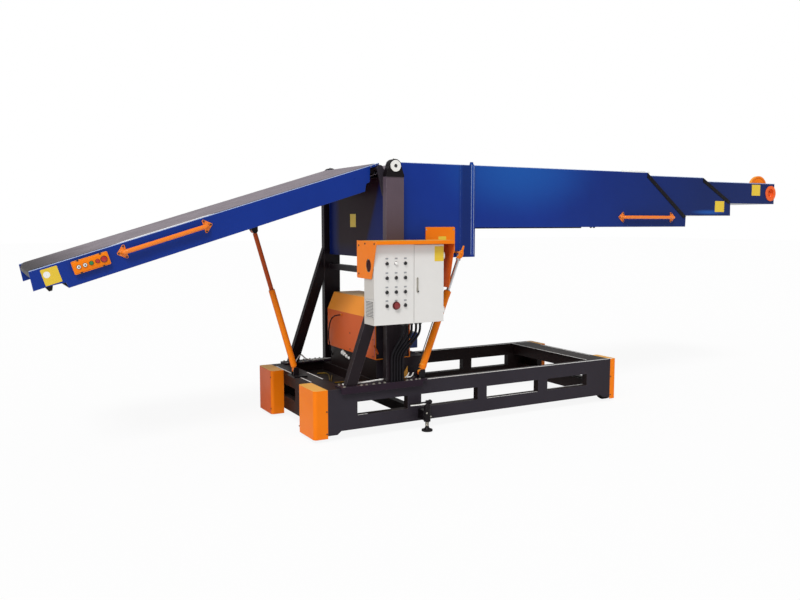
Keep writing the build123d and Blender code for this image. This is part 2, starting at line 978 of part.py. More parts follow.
tail_side = side_cut(tail_outline, tail_inset, tail_inner)
keep("tail_sides", *[tilted(side) for side in both_sides(tail_side)])
tail_bed = block(
    -tail_tip_roller + tail_roller_radius,
    -tail_roller_radius,
    tail_inner,
    base_width - tail_inner,
    tail_roller_radius - running_gap - bed_sheet,
    tail_roller_radius - running_gap,
)
tail_pan_piece = block(
    -tail_notch_end, -tail_end_low, tail_inner, base_width - tail_inner, tail_bottom, tail_bottom + tail_pan
)
keep("tail_decks", tilted(tail_bed), tilted(tail_pan_piece))
tail_belt_start = tail_inner + tail_lug_depth + tail_belt_gap
tail_belt_end = base_width - tail_belt_start
tail_belt = loop_belt(
    (-tail_tip_roller, 0), (0, 0), tail_roller_radius, tail_belt_thickness, tail_belt_start, tail_belt_end
)
keep("tail_belt", tilted(tail_belt))
lug_outline = [
    (-tail_lug_length, tail_plate_top - tail_lug_depth),
    (0, tail_ear_radius),
    (0, -tail_ear_radius),
    (-tail_lug_length, -tail_ear_radius),
]
lug = side_cut(lug_outline, tail_inner, tail_inner + tail_lug_depth)
lug += bar_y(0, 0, tail_ear_radius, tail_inner, tail_inner + tail_lug_depth)
lug -= bar_y(0, 0, tail_pin_radius + running_gap, tail_inner, tail_inner + tail_lug_depth)
end_roller = bar_y(0, 0, tail_roller_radius - running_gap, tail_belt_start, tail_belt_end)
end_roller += bar_y(0, 0, tail_ear_radius, tail_inner + tail_lug_depth, tail_belt_start)
end_roller += bar_y(0, 0, tail_ear_radius, tail_belt_end, base_width - tail_inner - tail_lug_depth)
end_roller -= bar_y(0, 0, tail_pin_radius + running_gap, 0, base_width)
tip_roller = bar_y(-tail_tip_roller, 0, tail_roller_radius - running_gap, tail_belt_start, tail_belt_end)
tip_roller += bar_y(-tail_tip_roller, 0, carrier_pin_radius, tail_inner, base_width - tail_inner)
keep("tail_rollers", tilted(end_roller), tilted(tip_roller))

# Rubber feet under the tail's tip, each against the inside of its side plate

foot_fall = (tail_notch_step_drop - tail_tip_low_drop) / (tail_notch_tip - tail_notch_step)
foot_low = tail_tip_low_drop + tail_foot_depth
tail_foot_end = tail_foot_start - tail_foot_length
foot_outline = [
    (-tail_foot_start, -tail_tip_low_drop),
    (-tail_notch_tip, -tail_tip_low_drop),
    (-tail_foot_end, -tail_tip_low_drop - (tail_notch_tip - tail_foot_end) * foot_fall),
    (-tail_foot_end - tail_foot_taper, -foot_low),
    (-tail_foot_start + tail_foot_taper, -foot_low),
]
tail_foot = side_cut(foot_outline, tail_inset, tail_inset + tail_foot_width)

# Lift cylinders, one each side, from the side beds to the boom


def cylinder_pieces(foot, head, y, outer, inner, rod, length, eye_radius, pin_radius, eye_width):
    """A cylinder's barrel with its foot eye, and its rod with its head eye."""
    run_x = head[0] - foot[0]
    run_z = head[1] - foot[1]
    whole = math.hypot(run_x, run_z)
    dir_x = run_x / whole
    dir_z = run_z / whole

    def at(distance):
        return (foot[0] + dir_x * distance, y, foot[1] + dir_z * distance)

    y_from = y - eye_width / 2
    y_to = y + eye_width / 2
    neck = eye_width / 2 - clevis_gap
    barrel = bar_between(at(0), at(length * bore_start_share), neck)
    barrel += bar_between(at(eye_radius + swing_gap), at(length), outer)
    barrel += bar_y(foot[0], foot[1], eye_radius, y_from, y_to)
    barrel -= bar_y(foot[0], foot[1], pin_radius + running_gap, y_from, y_to)
    barrel -= bar_between(at(length * bore_start_share), at(length), inner)
    piston_rod = bar_between(at(length * piston_share), at(whole - eye_radius - clevis_gap), rod)
    piston_rod += bar_between(at(whole - eye_radius - eye_width), at(whole), neck)
    piston_rod += bar_y(head[0], head[1], eye_radius, y_from, y_to)
    return barrel, piston_rod


lift_barrel, lift_rod = cylinder_pieces(
    (lift_foot_x, lift_foot_z),
    (lift_head_x, lift_head_z),
    lift_line,
    barrel_radius,
    rod_radius + running_gap,
    rod_radius,
    barrel_length,
    lift_eye_radius,
    lift_pin_radius,
    lift_eye_width,
)
lift_rod += bar_y(
    lift_head_x,
    lift_head_z,
    lift_pin_radius,
    lift_line - lift_eye_width / 2 - pin_head,
    lift_line,
)
keep("lift_barrel_near", lift_barrel)
keep("lift_barrel_far", mirrored(lift_barrel))
keep("lift_rod_near", lift_rod)
keep("lift_rod_far", mirrored(lift_rod))
head_boss = bar_y(
    lift_head_x, lift_head_z, lift_eye_radius, lift_line + lift_eye_width / 2 + clevis_gap, boom_inset
)
keep("boom_pins", *both_sides(stub), *both_sides(head_boss))

# Clevises for the cylinders' feet


def foot_clevis(x, z, y, eye_width, pin_radius, eye_radius, seat):
    """Two cheeks and a pin for a cylinder's foot, standing on a seat."""
    half = eye_width / 2 + clevis_gap
    cheeks = bar_y(x, z, pin_radius, y - half - clevis_plate, y + half + clevis_plate)
    for y_from in (y - half - clevis_plate, y + half):
        cheek = block(x - eye_radius, x + eye_radius, y_from, y_from + clevis_plate, seat, z)
        cheek += bar_y(x, z, eye_radius, y_from, y_from + clevis_plate)
        cheeks += cheek
    return cheeks


lift_clevis = foot_clevis(
    lift_foot_x, lift_foot_z, lift_line, lift_eye_width, lift_pin_radius, lift_eye_radius, bed_top
)

# Tail strut in the middle, from a foot plate on the left end frame to a bracket under the tail

slope_cos = math.cos(math.radians(tail_slope))
slope_sin = math.sin(math.radians(tail_slope))


def tail_point(u, v):
    """The (x, z) of a point given along and square to the tail from its pivot."""
    return (tail_pivot_x + u * slope_cos - v * slope_sin, tail_pivot_z + u * slope_sin + v * slope_cos)


strut_head_v = tail_bottom - strut_head_drop
strut_head_x, strut_head_z = tail_point(-strut_head_u, strut_head_v)
strut_barrel, strut_rod = cylinder_pieces(
    (strut_foot_x, strut_foot_z),
    (strut_head_x, strut_head_z),
    half_width,
    strut_barrel_radius,
    strut_rod_radius + running_gap,
    strut_rod_radius,
    strut_barrel_length,
    strut_eye_radius,
    lift_pin_radius,
    strut_eye_width,
)
keep("strut_barrel", strut_barrel)
keep("strut_rod", strut_rod)
strut_clevis = foot_clevis(
    strut_foot_x, strut_foot_z, half_width, strut_eye_width, lift_pin_radius, strut_eye_radius, bed_top
)
foot_plate = block(
    strut_foot_x - foot_plate_overhang,
    frame_left + rail_width,
    half_width - foot_plate_width / 2,
    half_width + foot_plate_width / 2,
    base_top,
    bed_top,
)
keep("foot_clevises", *both_sides(lift_clevis), strut_clevis + foot_plate)

bracket_half = strut_eye_width / 2 + clevis_gap
strut_bracket = block(
    -strut_head_u - bracket_reach,
    -strut_head_u + bracket_reach,
    half_width - bracket_half - clevis_plate,
    half_width + bracket_half + clevis_plate,
    tail_bottom - clevis_plate,
    tail_bottom,
)
bracket_outline = [
    (-strut_head_u - bracket_reach, tail_bottom),
    (-strut_head_u + bracket_reach, tail_bottom),
    (-strut_head_u + strut_eye_radius, strut_head_v),
    (-strut_head_u - strut_eye_radius, strut_head_v),
]
for cheek_start in (half_width - bracket_half - clevis_plate, half_width + bracket_half):
    strut_bracket += side_cut(bracket_outline, cheek_start, cheek_start + clevis_plate)
    strut_bracket += bar_y(
        -strut_head_u, strut_head_v, strut_eye_radius, cheek_start, cheek_start + clevis_plate
    )
tail_side_fittings = [tilted(side) for side in both_sides(lug) + both_sides(tail_foot)]
keep("tail_brackets", *tail_side_fittings, tilted(strut_bracket))

# Grab handles: a bent tube on two three-cornered plates


def grab_handle(u_from, u_to, v, wall):
    """A grab handle on a side plate whose outer face is at y = wall."""
    tube_y = wall - handle_stand_off
    route = [(u_from, wall, v), (u_from, tube_y, v), (u_to, tube_y, v), (u_to, wall, v)]
    handle = bent_tube(route, handle_bend, handle_radius)
    for end, outward in ((u_from, -1), (u_to, 1)):
        corners = [
            (end - outward * handle_plate_back, wall, v + handle_plate_height / 2),
            (end + outward * handle_reach, wall, v),
            (end - outward * handle_plate_back, wall, v - handle_plate_height / 2),
        ]
        plate = make_face(Polyline(*corners, close=True))
        plate = fillet(plate.vertices(), handle_plate_corner)
        handle += extrude(plate, handle_plate, dir=(0, -1, 0))
    return handle


tail_handle = grab_handle(-tail_handle_start, -tail_handle_end, -tail_handle_drop, tail_inset)
keep("tail_handles", *[tilted(side) for side in both_sides(tail_handle)])
boom_handle_z = beam_bottom + boom_handle_rise
boom_handle = grab_handle(boom_handle_start, boom_handle_end, boom_handle_z, boom_inset)
keep("boom_handles", *both_sides(boom_handle))

# Control box on the near side of the tail

box_start = -panel_box_start
box_face = RectangleRounded(panel_box_length, panel_box_height, panel_box_corner)
box_middle = (box_start + panel_box_length / 2, tail_inset, panel_box_top - panel_box_height / 2)
panel_box = extrude(
    Plane(origin=box_middle, x_dir=(1, 0, 0), z_dir=(0, -1, 0)) * box_face, panel_box_depth, dir=(0, -1, 0)
)
panel_front = tail_inset - panel_box_depth
panel_buttons = []
for place in panel_button_places:
    button = bar_y(
        box_start + place, box_middle[2], panel_button_radius, panel_front - panel_button_depth, panel_front
    )
    panel_buttons.append(tilted(button))
keep("tail_control_box", tilted(panel_box))
keep("tail_buttons", *panel_buttons)

# Orange plates on the deep box, beside the cylinder heads

plate_bottom = deep_bottom + side_plate_rise
plate_middle_x = (side_plate_left + side_plate_right) / 2
plate_face = RectangleRounded(side_plate_right - side_plate_left, side_plate_height, side_plate_corner)
plate_plane = Plane(
    origin=(plate_middle_x, boom_inset, plate_bottom + side_plate_height / 2), x_dir=(1, 0, 0), z_dir=(0, -1, 0)
)
keep("boom_side_plates", *both_sides(extrude(plate_plane * plate_face, side_plate_sheet, dir=(0, -1, 0))))

# Power unit: a folded cover open at both ends, over the plain mass of the drive

cover_far = base_width - cover_far_setback
cover_fold = cover_top - cover_fold_drop
unit_outline = [
    (cover_left, cover_near, cover_low),
    (cover_right, cover_near, cover_low),
    (cover_right, cover_near, cover_top),
    (cover_left + cover_slope_run, cover_near, cover_top),
    (cover_left, cover_near, cover_fold),
]
unit_face = make_face(Polyline(*unit_outline, close=True))
core_face = offset(unit_face, -unit_cover_sheet, kind=Kind.INTERSECTION)
unit_length = cover_far - cover_near
unit_core = Pos(0, core_setback, 0) * extrude(core_face, unit_length - 2 * core_setback, dir=(0, 1, 0))
unit_cover = extrude(unit_face, unit_length, dir=(0, 1, 0)) - extrude(core_face, unit_length, dir=(0, 1, 0))
grommet_y = cable_route[0][1]
grommet_z = cover_fold - cable_grommet_drop
unit_cover += bar_x(grommet_y, grommet_z, grommet_radius, cover_left - grommet_depth, cover_left)
unit_cover -= bar_x(grommet_y, grommet_z, cable_radius, cover_left - grommet_depth, cover_left)
keep("power_unit_cover", unit_cover)
unit_base = block(
    cover_left + unit_base_inset,
    unit_base_right,
    cover_near + unit_base_inset,
    cover_far - unit_base_inset,
    base_top,
    cover_low,
)
keep("power_unit_base", unit_base, unit_core)
motor_near = half_width - motor_width / 2 - motor_side_step
motor = block(
    cover_right,
    cover_right + motor_length,
    motor_near,
    motor_near + motor_width,
    cover_low,
    cover_low + motor_height,
)
motor_edges = motor.edges().filter_by(Axis.Z).sort_by(Axis.X)[2:]
keep("drive_motor", fillet(motor_edges, motor_round))

# Cable from the cover's grommet to the base: each arc is as large as its two runs allow


def arc_radii(points, share):
    """The radius at each inner point, from its shorter run and its turn."""
    radii = []
    for before, here, after in zip(points, points[1:], points[2:]):
        come = Vector(*here) - Vector(*before)
        go = Vector(*after) - Vector(*here)
        half_turn = math.radians(come.get_angle(go)) / 2
        radii.append(share * min(come.length, go.length) / math.tan(half_turn))
    return radii


cable_run_share = 0.45
cable_low = base_top + cable_entry_rise
cable_high = cover_fold - cable_grommet_drop
cable_points = [(x, y, cable_low + share * (cable_high - cable_low)) for x, y, share in cable_route]
cable_bends = arc_radii(cable_points, cable_run_share)
keep("cover_cable", bent_tube(cable_points, cable_bends, cable_radius) - unit_cover - unit_base)

# Hoses from under the cabinet, back to the post and down its face to the bed

hoses = []
hose_foot_y = -hose_radius - hose_clearance
for top_x, foot_x in zip(hose_tops, hose_feet):
    hose_route = [
        (top_x, hose_top_y, cabinet_bottom),
        (top_x, hose_top_y, cabinet_bottom - hose_straight),
        (foot_x, hose_foot_y, hose_bend_bottom),
        (foot_x, hose_foot_y, bed_top),
    ]
    hoses.append(bent_tube(hose_route, hose_bend_radius, hose_radius))
keep("cabinet_hoses", *hoses)

# Control cabinet: shell with a fixed front panel, a door and a rain hood

cabinet_right = cabinet_left + cabinet_width
cabinet_top = cabinet_bottom + cabinet_height
cabinet_front = cabinet_back - cabinet_depth
door_back = cabinet_front + door_thickness
opening_front = door_back + door_clearance
cabinet = block(cabinet_left, cabinet_right, opening_front, cabinet_back, cabinet_bottom, cabinet_top)
cabinet += block(cabinet_left, door_split, cabinet_front, opening_front, cabinet_bottom, cabinet_top)
cabinet -= block(
    cabinet_left + cabinet_sheet,
    door_split,
    cabinet_front + cabinet_sheet,
    cabinet_back - cabinet_sheet,
    cabinet_bottom + cabinet_sheet,
    cabinet_top - cabinet_sheet,
)
cabinet -= block(
    door_split,
    cabinet_right - cabinet_sheet,
    opening_front,
    cabinet_back - cabinet_sheet,
    cabinet_bottom + cabinet_sheet,
    cabinet_top - cabinet_sheet,
)
hinge_x = cabinet_right + hinge_offset
hinge_y = cabinet_front + hinge_offset
hinge_places = (
    cabinet_bottom + hinge_inset,
    cabinet_top - hinge_inset - hinge_length,
)
door = block(
    door_split + door_gap, cabinet_right, cabinet_front, door_back, cabinet_bottom, cabinet_top - door_gap
)
for place in hinge_places:
    knuckle_top = place + hinge_length
    cabinet += bar_z(hinge_x, hinge_y, hinge_pin_radius, place - hinge_pin_reach, knuckle_top + hinge_pin_reach)
    for arm_from in (place - hinge_gap - hinge_pin_reach, knuckle_top + hinge_gap):
        arm_to = arm_from + hinge_pin_reach
        arm = bar_z(hinge_x, hinge_y, hinge_pin_radius, arm_from, arm_to)
        arm += block(
            hinge_x - hinge_pin_radius,
            hinge_x + hinge_pin_radius,
            hinge_y,
            opening_front + hinge_arm_reach,
            arm_from,
            arm_to,
        )
        arm += block(
            cabinet_right,
            hinge_x,
            opening_front,
            opening_front + hinge_arm_reach,
            arm_from,
            arm_to,
        )
        cabinet += arm
    knuckle = bar_z(hinge_x, hinge_y, hinge_offset, place, knuckle_top)
    knuckle += block(cabinet_right, hinge_x, cabinet_front, cabinet_front + hinge_leaf, place, knuckle_top)
    door += knuckle
    door -= bar_z(hinge_x, hinge_y, hinge_pin_radius + running_gap, place, knuckle_top)
for place in (cabinet_bottom + spacer_inset, cabinet_top - spacer_inset - spacer_height):
    cabinet += block(
        post_centre - spacer_width / 2, post_centre + spacer_width / 2, cabinet_back, 0, place, place + spacer_height
    )
keep("cabinet_body", cabinet)
keep("cabinet_door", door)

buttons = []
for row, row_z in enumerate(button_rows):
    for column, column_x in enumerate(button_columns):
        is_stop = row == len(button_rows) - 1 and column == 1
        if is_stop:
            button = bar_y(column_x, row_z, stop_stem_radius, cabinet_front - stop_depth, cabinet_front)
            head_start = cabinet_front - stop_depth
            button += bar_y(column_x, row_z, stop_radius, head_start, head_start + stop_head_depth)
        else:
            button = bar_y(column_x, row_z, selector_radius, cabinet_front - selector_depth, cabinet_front)
        buttons.append(button)
keep("cabinet_buttons", *buttons)

hood_left = cabinet_left - hood_gap - hood_sheet
hood_top = cabinet_top + hood_rise
hood = block(hood_left, hood_right, hood_front, 0, hood_top - hood_sheet, hood_top)
hood += block(hood_left, hood_right, hood_front, hood_front + hood_sheet, hood_top - hood_lip, hood_top)


def hood_cheek(x_from, back, bottom):
    """A cheek of the hood, with its two lower corners rounded."""
    corners = [
        (x_from, hood_front, hood_top),
        (x_from, back, hood_top),
        (x_from, back, bottom),
        (x_from, hood_front + hood_rake, bottom),
        (x_from, hood_front, hood_top - hood_lip),
    ]
    face = make_face(Polyline(*corners, close=True))
    face = fillet(face.vertices().sort_by(Axis.Z)[:2], hood_corner)
    return extrude(face, hood_sheet, dir=(1, 0, 0))


hood_hole_plane = Plane(origin=(hood_left, hood_hole_y, hood_hole_z), x_dir=(0, 1, 0), z_dir=(1, 0, 0))
hood_hole = extrude(
    hood_hole_plane * Ellipse(hood_hole_half_width, hood_hole_half_height), hood_sheet, dir=(1, 0, 0)
)
hood += hood_cheek(hood_left, hood_back, hood_left_bottom) - hood_hole
hood += hood_cheek(hood_right - hood_sheet, 0, hood_right_bottom)
keep("cabinet_hood", hood)

# Levelling jack on the near side, with its turning bar

jack_arm = block(
    jack_x - jack_arm_width / 2, jack_x + jack_arm_width / 2, jack_y, 0, jack_arm_bottom, jack_arm_top
)
jack = jack_arm + bar_z(jack_x, jack_y, jack_sleeve_radius, jack_sleeve_bottom, jack_sleeve_top)
jack += bar_z(jack_x, jack_y, jack_screw_radius, jack_foot_bottom, jack_top)
jack += bar_z(jack_x, jack_y, jack_pad_radius, jack_foot_bottom, jack_foot_bottom + jack_pad_height)
jack += Pos(jack_x, jack_y, jack_foot_bottom + jack_pad_height) * Cone(
    jack_cone_radius, jack_screw_radius, jack_cone_height, align=(Align.CENTER, Align.CENTER, Align.MIN)
)
jack += bar_x(jack_y, jack_top - jack_bar_drop, jack_bar_radius, jack_bar_left, jack_bar_right)
jack += Pos(jack_bar_right, jack_y, jack_top - jack_bar_drop) * Sphere(jack_knob_radius)
keep("levelling_jack", jack)

# The part's kept pieces, set about the middle of the footprint

boxes = [solid.bounding_box() for solids in nodes.values() for solid in solids]
middle_x = (min(box.min.X for box in boxes) + max(box.max.X for box in boxes)) / 2
middle_y = (min(box.min.Y for box in boxes) + max(box.max.Y for box in boxes)) / 2
os.makedirs("parts", exist_ok=True)
for name, solids in nodes.items():
    moved = [Pos(-middle_x, -middle_y, 0) * solid for solid in solids]
    export_step(Compound(children=moved) if len(moved) > 1 else moved[0], "parts/" + name + ".step")
    print(name, len(moved))
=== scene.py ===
import logging
import math
import random
from dataclasses import dataclass, field
from enum import Enum
from functools import cache
from typing import Iterable, Optional, Sequence, Union

import bmesh
import bpy
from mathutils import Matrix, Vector


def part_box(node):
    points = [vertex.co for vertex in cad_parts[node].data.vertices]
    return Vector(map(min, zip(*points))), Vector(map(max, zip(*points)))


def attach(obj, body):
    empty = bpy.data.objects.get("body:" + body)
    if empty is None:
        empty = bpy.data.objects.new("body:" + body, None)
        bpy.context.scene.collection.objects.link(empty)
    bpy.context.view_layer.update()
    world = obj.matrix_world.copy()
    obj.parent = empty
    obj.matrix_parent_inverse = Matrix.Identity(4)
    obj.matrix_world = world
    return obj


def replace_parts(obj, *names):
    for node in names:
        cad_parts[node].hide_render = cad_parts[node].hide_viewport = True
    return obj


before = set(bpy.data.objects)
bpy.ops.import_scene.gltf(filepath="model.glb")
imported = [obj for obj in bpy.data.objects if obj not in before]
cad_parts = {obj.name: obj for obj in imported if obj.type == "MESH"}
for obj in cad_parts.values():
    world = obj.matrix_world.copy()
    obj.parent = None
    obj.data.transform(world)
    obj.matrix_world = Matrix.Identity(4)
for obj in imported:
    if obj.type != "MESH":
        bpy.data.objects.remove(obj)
log = logging.getLogger("conveyor")

# Lengths are metres. A place on the machine is given from the left end of its base (x),
# from the near side of its base (y) and from the floor (z). Shaders read world coordinates.

Colour = tuple[float, float, float]
Point = tuple[float, float]
Number = Union[float, "Wire"]
Settings = Optional[dict[str, object]]
Inputs = Optional[dict[Union[str, int], object]]


def paint(red: int, green: int, blue: int) -> Colour:
    """Turn a colour from a paint card, with parts from 0 to 255, into linear light."""
    return tuple(
        (c / 255 / 12.92) if c <= 10 else ((c / 255 + 0.055) / 1.055) ** 2.4
        for c in (red, green, blue)
    )


class Body(Enum):
    """The CAD bodies that the pieces ride on."""

    BASE = "base"
    BOOM = "boom"
    MIDDLE = "section_2"
    TIP = "section_3"
    TAIL = "tail"
    DOOR = "cabinet_door"
    LIFT_BARREL_NEAR = "lift_barrel_near"
    LIFT_BARREL_FAR = "lift_barrel_far"
    LIFT_ROD_NEAR = "lift_rod_near"
    LIFT_ROD_FAR = "lift_rod_far"


class Wire:
    """A node's output that Python's arithmetic joins with Math nodes."""

    def __init__(self, graph: "Graph", socket: bpy.types.NodeSocket) -> None:
        """Hold a socket of a graph."""
        self.graph = graph
        self.socket = socket

    def __add__(self, other: Number) -> "Wire":
        """This plus another."""
        return self.graph.math("ADD", self, other)

    def __radd__(self, other: Number) -> "Wire":
        """Another plus this."""
        return self.graph.math("ADD", other, self)

    def __sub__(self, other: Number) -> "Wire":
        """This less another."""
        return self.graph.math("SUBTRACT", self, other)

    def __rsub__(self, other: Number) -> "Wire":
        """Another less this."""
        return self.graph.math("SUBTRACT", other, self)

    def __mul__(self, other: Number) -> "Wire":
        """This times another."""
        return self.graph.math("MULTIPLY", self, other)

    def __rmul__(self, other: Number) -> "Wire":
        """Another times this."""
        return self.graph.math("MULTIPLY", other, self)

    def __truediv__(self, other: Number) -> "Wire":
        """This over another."""
        return self.graph.math("DIVIDE", self, other)

    def clamped(self) -> "Wire":
        """This held between 0 and 1."""
        return self.graph.math("MAXIMUM", 0.0, self.graph.math("MINIMUM", self, 1.0))

    def sine(self) -> "Wire":
        """The sine of this."""
        return self.graph.math("SINE", self)

    def above(self, edge: float, softness: float) -> "Wire":
        """Rise from 0 to 1 about an edge, over a softness."""
        return ((self - (edge - softness / 2)) / softness).clamped()


class Graph:
    """The node tree of one material or world."""

    def __init__(self, name: str, owner: Optional[bpy.types.ID] = None) -> None:
        """Start an empty tree on its owner, or on a new material of this name."""
        self.owner = owner or bpy.data.materials.new(name)
        self.owner.use_nodes = True
        self.tree = self.owner.node_tree
        self.tree.nodes.clear()

    def node(self, kind: str, settings: Settings = None, inputs: Inputs = None) -> bpy.types.Node:
        """Add a node.

        Args:
            kind: Blender's name for the node's type.
            settings: Settings by name, put in place first.
            inputs: Values or wires by socket name or number.

        Returns:
            The new node.
        """
        made = self.tree.nodes.new(kind)
        for name, value in (settings or {}).items():
            setattr(made, name, value)
        for name, value in (inputs or {}).items():
            if isinstance(value, Wire):
                self.tree.links.new(value.socket, made.inputs[name])
            else:
                made.inputs[name].default_value = value
        return made

    def output(
        self, kind: str, socket: Union[str, int], settings: Settings = None, inputs: Inputs = None
    ) -> Wire:
        """Add a node, as node does, and take the output of this name or number."""
        return Wire(self, self.node(kind, settings, inputs).outputs[socket])

    def math(self, operation: str, *values: Number) -> Wire:
        """Join numbers or wires with one Math node."""
        return self.output("ShaderNodeMath", 0, {"operation": operation}, dict(enumerate(values)))

    def vector(self, operation: str, socket: str, *values: object) -> Wire:
        """Join vectors with one Vector Math node and take the output of this name."""
        return self.output(
            "ShaderNodeVectorMath", socket, {"operation": operation}, dict(enumerate(values))
        )

    def place(self) -> Wire:
        """The place in the row's frame."""
        return self.output("ShaderNodeTexCoord", "Object")

    def normal(self) -> Wire:
        """The surface's own normal."""
        return self.output("ShaderNodeNewGeometry", "Normal")

    def along(self, axis: str) -> Wire:
        """One coordinate of the place, by its letter."""
        return self.output("ShaderNodeSeparateXYZ", axis, None, {"Vector": self.place()})

    def facing(self, axis: str) -> Wire:
        """How far a surface faces along an axis, by its letter, from -1 to 1."""
        return self.output("ShaderNodeSeparateXYZ", axis, None, {"Vector": self.normal()})

    def stretched(self, x: float, y: float, z: float) -> Wire:
        """The place with each direction scaled."""
        return self.vector("MULTIPLY", "Vector", self.place(), (x, y, z))

    def noise(self, scale: float, detail: float = 3.0, where: Optional[Wire] = None) -> Wire:
        """Soft noise from 0 to 1.

        Args:
            scale: Features in a metre.
            detail: Octaves of finer noise.
            where: The place to read, or the plain place.

        Returns:
            The noise.
        """
        inputs = {"Vector": where or self.place(), "Scale": scale, "Detail": detail}
        return self.output("ShaderNodeTexNoise", "Fac", None, inputs)

    def cells(self, scale: float) -> Wire:
        """Distance to the middle of the nearest cell, with this many cells in a metre."""
        inputs = {"Vector": self.place(), "Scale": scale}
        return self.output("ShaderNodeTexVoronoi", "Distance", {"feature": "F1"}, inputs)

    def mixed(self, amount: Number, first: Union[Colour, Wire], second: Union[Colour, Wire]) -> Wire:
        """Blend two colours.

        Args:
            amount: How much of the second, from 0 to 1.
            first: The colour at 0.
            second: The colour at 1.

        Returns:
            The blend.
        """
        sides = [c if isinstance(c, Wire) else (*c, 1.0) for c in (first, second)]
        inputs = {0: amount, 6: sides[0], 7: sides[1]}
        return self.output("ShaderNodeMix", 2, {"data_type": "RGBA"}, inputs)

    def edge_normal(self, radius: float) -> Wire:
        """A normal that rounds sharp edges over a radius."""
        return self.output("ShaderNodeBevel", "Normal", {"samples": 4}, {"Radius": radius})

    def edge_mask(self, radius: float) -> Wire:
        """Where sharp edges are, from 0 on flats to 1 on edges."""
        dot = self.vector("DOT_PRODUCT", "Value", self.edge_normal(radius), self.normal())
        return ((1 - dot) * 6.0).clamped()

    def bumped(self, height: Wire, depth: float, normal: Optional[Wire] = None) -> Wire:
        """A normal roughened by a height.

        Args:
            height: The height from 0 to 1.
            depth: The height's full depth in metres.
            normal: The normal to start from.

        Returns:
            The roughened normal.
        """
        inputs = {"Height": height, "Distance": depth, "Strength": 1.0}
        if normal is not None:
            inputs["Normal"] = normal
        return self.output("ShaderNodeBump", "Normal", None, inputs)

    def surface(self, **inputs: object) -> bpy.types.Material:
        """Close the material with its surface.

        Args:
            **inputs: Values or wires by socket name, with _ for a space.

        Returns:
            The finished material.
        """
        named = {name.replace("_", " "): value for name, value in inputs.items()}
        shader = self.output("ShaderNodeBsdfPrincipled", 0, None, named)
        self.node("ShaderNodeOutputMaterial", None, {"Surface": shader})
        return self.owner


@dataclass(frozen=True)
class Enamel:
    """Sprayed enamel on sheet steel, with orange peel, slow changes of shade, rubbed edges and painted
    highlights on edges.
    """

    name: str
    colour: Colour
    deep: Colour
    # edge: the paler colour mixed onto sharp edges as a painted highlight, and into rubbed spots.
    edge: Colour
    roughness: float = 0.32
    peel: float = 0.00010
    grain: float = 260.0
    wear: float = 0.35
    coat: float = 0.25
    dust: float = 0.10
    round_over: float = 0.004
    shine: float = 0.22

    def material(self) -> bpy.types.Material:
        """Build the finish."""
        g = Graph(self.name)
        slow = g.noise(1.6, 2.0)
        cloud = g.noise(9.0, 4.0)
        peel = g.noise(self.grain, 2.0)
        edge = g.edge_mask(self.round_over)
        broken = g.noise(38.0, 5.0).above(0.56, 0.16)
        rubbed = (edge * broken * self.wear).clamped()
        shade = (slow * 0.7 + cloud * 0.3).above(0.5, 0.5)
        body = self.body(g, g.mixed(shade, self.deep, self.colour))
        # Painted highlight: sharp edges are mixed a little towards the paler edge colour.
        lit = g.mixed((edge * 0.30).clamped(), body, self.edge)
        bare = g.mixed(0.5, self.edge, paint(150, 148, 145))
        patches = g.noise(22.0, 5.0).above(0.5, 0.5)
        settled = (g.facing("Z").above(0.7, 0.5) * patches * self.dust).clamped()
        rough = self.roughness + cloud * 0.10 + settled * 0.5 + rubbed * 0.15 - 0.05
        return g.surface(
            Base_Color=g.mixed(settled, g.mixed(rubbed, lit, bare), paint(176, 172, 164)),
            Roughness=rough.clamped(),
            Specular_IOR_Level=self.shine,
            Coat_Weight=self.coat,
            Coat_Roughness=0.12,
            Normal=g.bumped(peel, self.peel, g.edge_normal(self.round_over)),
        )

    def body(self, g: Graph, plain: Wire) -> Wire:
        """The paint's own colour, which kinds of enamel change from place to place.

        Args:
            g: The graph that it is built in.
            plain: The paint with its slow change of shade.

        Returns:
            The colour.
        """
        return plain


@dataclass(frozen=True)
class ShadedPostEnamel(Enamel):
    """Enamel with painted shade: lighter at the top of the posts, darker lower down and dark over the far
    post.
    """

    # low: the colour of the painted shade, lower down on the posts and over the far post.
    low: Colour = (0.02, 0.02, 0.02)
    shade_from: float = 0.75
    shade_to: float = 1.75
    far_from: float = 0.10

    def body(self, g: Graph, plain: Wire) -> Wire:
        """Paint the shade by height, with the far post in painted shade all over."""
        rise = (g.along("Z") - self.shade_from) / (self.shade_to - self.shade_from)
        far = g.along("Y").above(self.far_from, 0.2)
        upper = (rise.clamped() * (1 - far)).clamped()
        return g.mixed(upper, self.low, plain)


@dataclass(frozen=True)
class ShadedPanelEnamel(Enamel):
    """Blue enamel with a brown painted shade across the panel's middle, and its blue along the sides and
    foot.
    """

    panel_blue: Colour = (0.01, 0.02, 0.1)
    near_edge: float = -0.098
    far_edge: float = 0.46
    lean: float = 0.51
    foot: float = 1.467

    def body(self, g: Graph, plain: Wire) -> Wire:
        """Blend the brown painted shade in the middle into the blue at the sides."""
        y = g.along("Y")
        near = (self.near_edge - y - (g.along("Z") - self.foot) * self.lean).above(0.0, 0.05)
        far = y.above(self.far_edge, 0.10)
        low = (self.foot - g.along("Z")).above(0.10, 0.12) * 0.5
        return g.mixed((near + far + low).clamped(), plain, self.panel_blue)


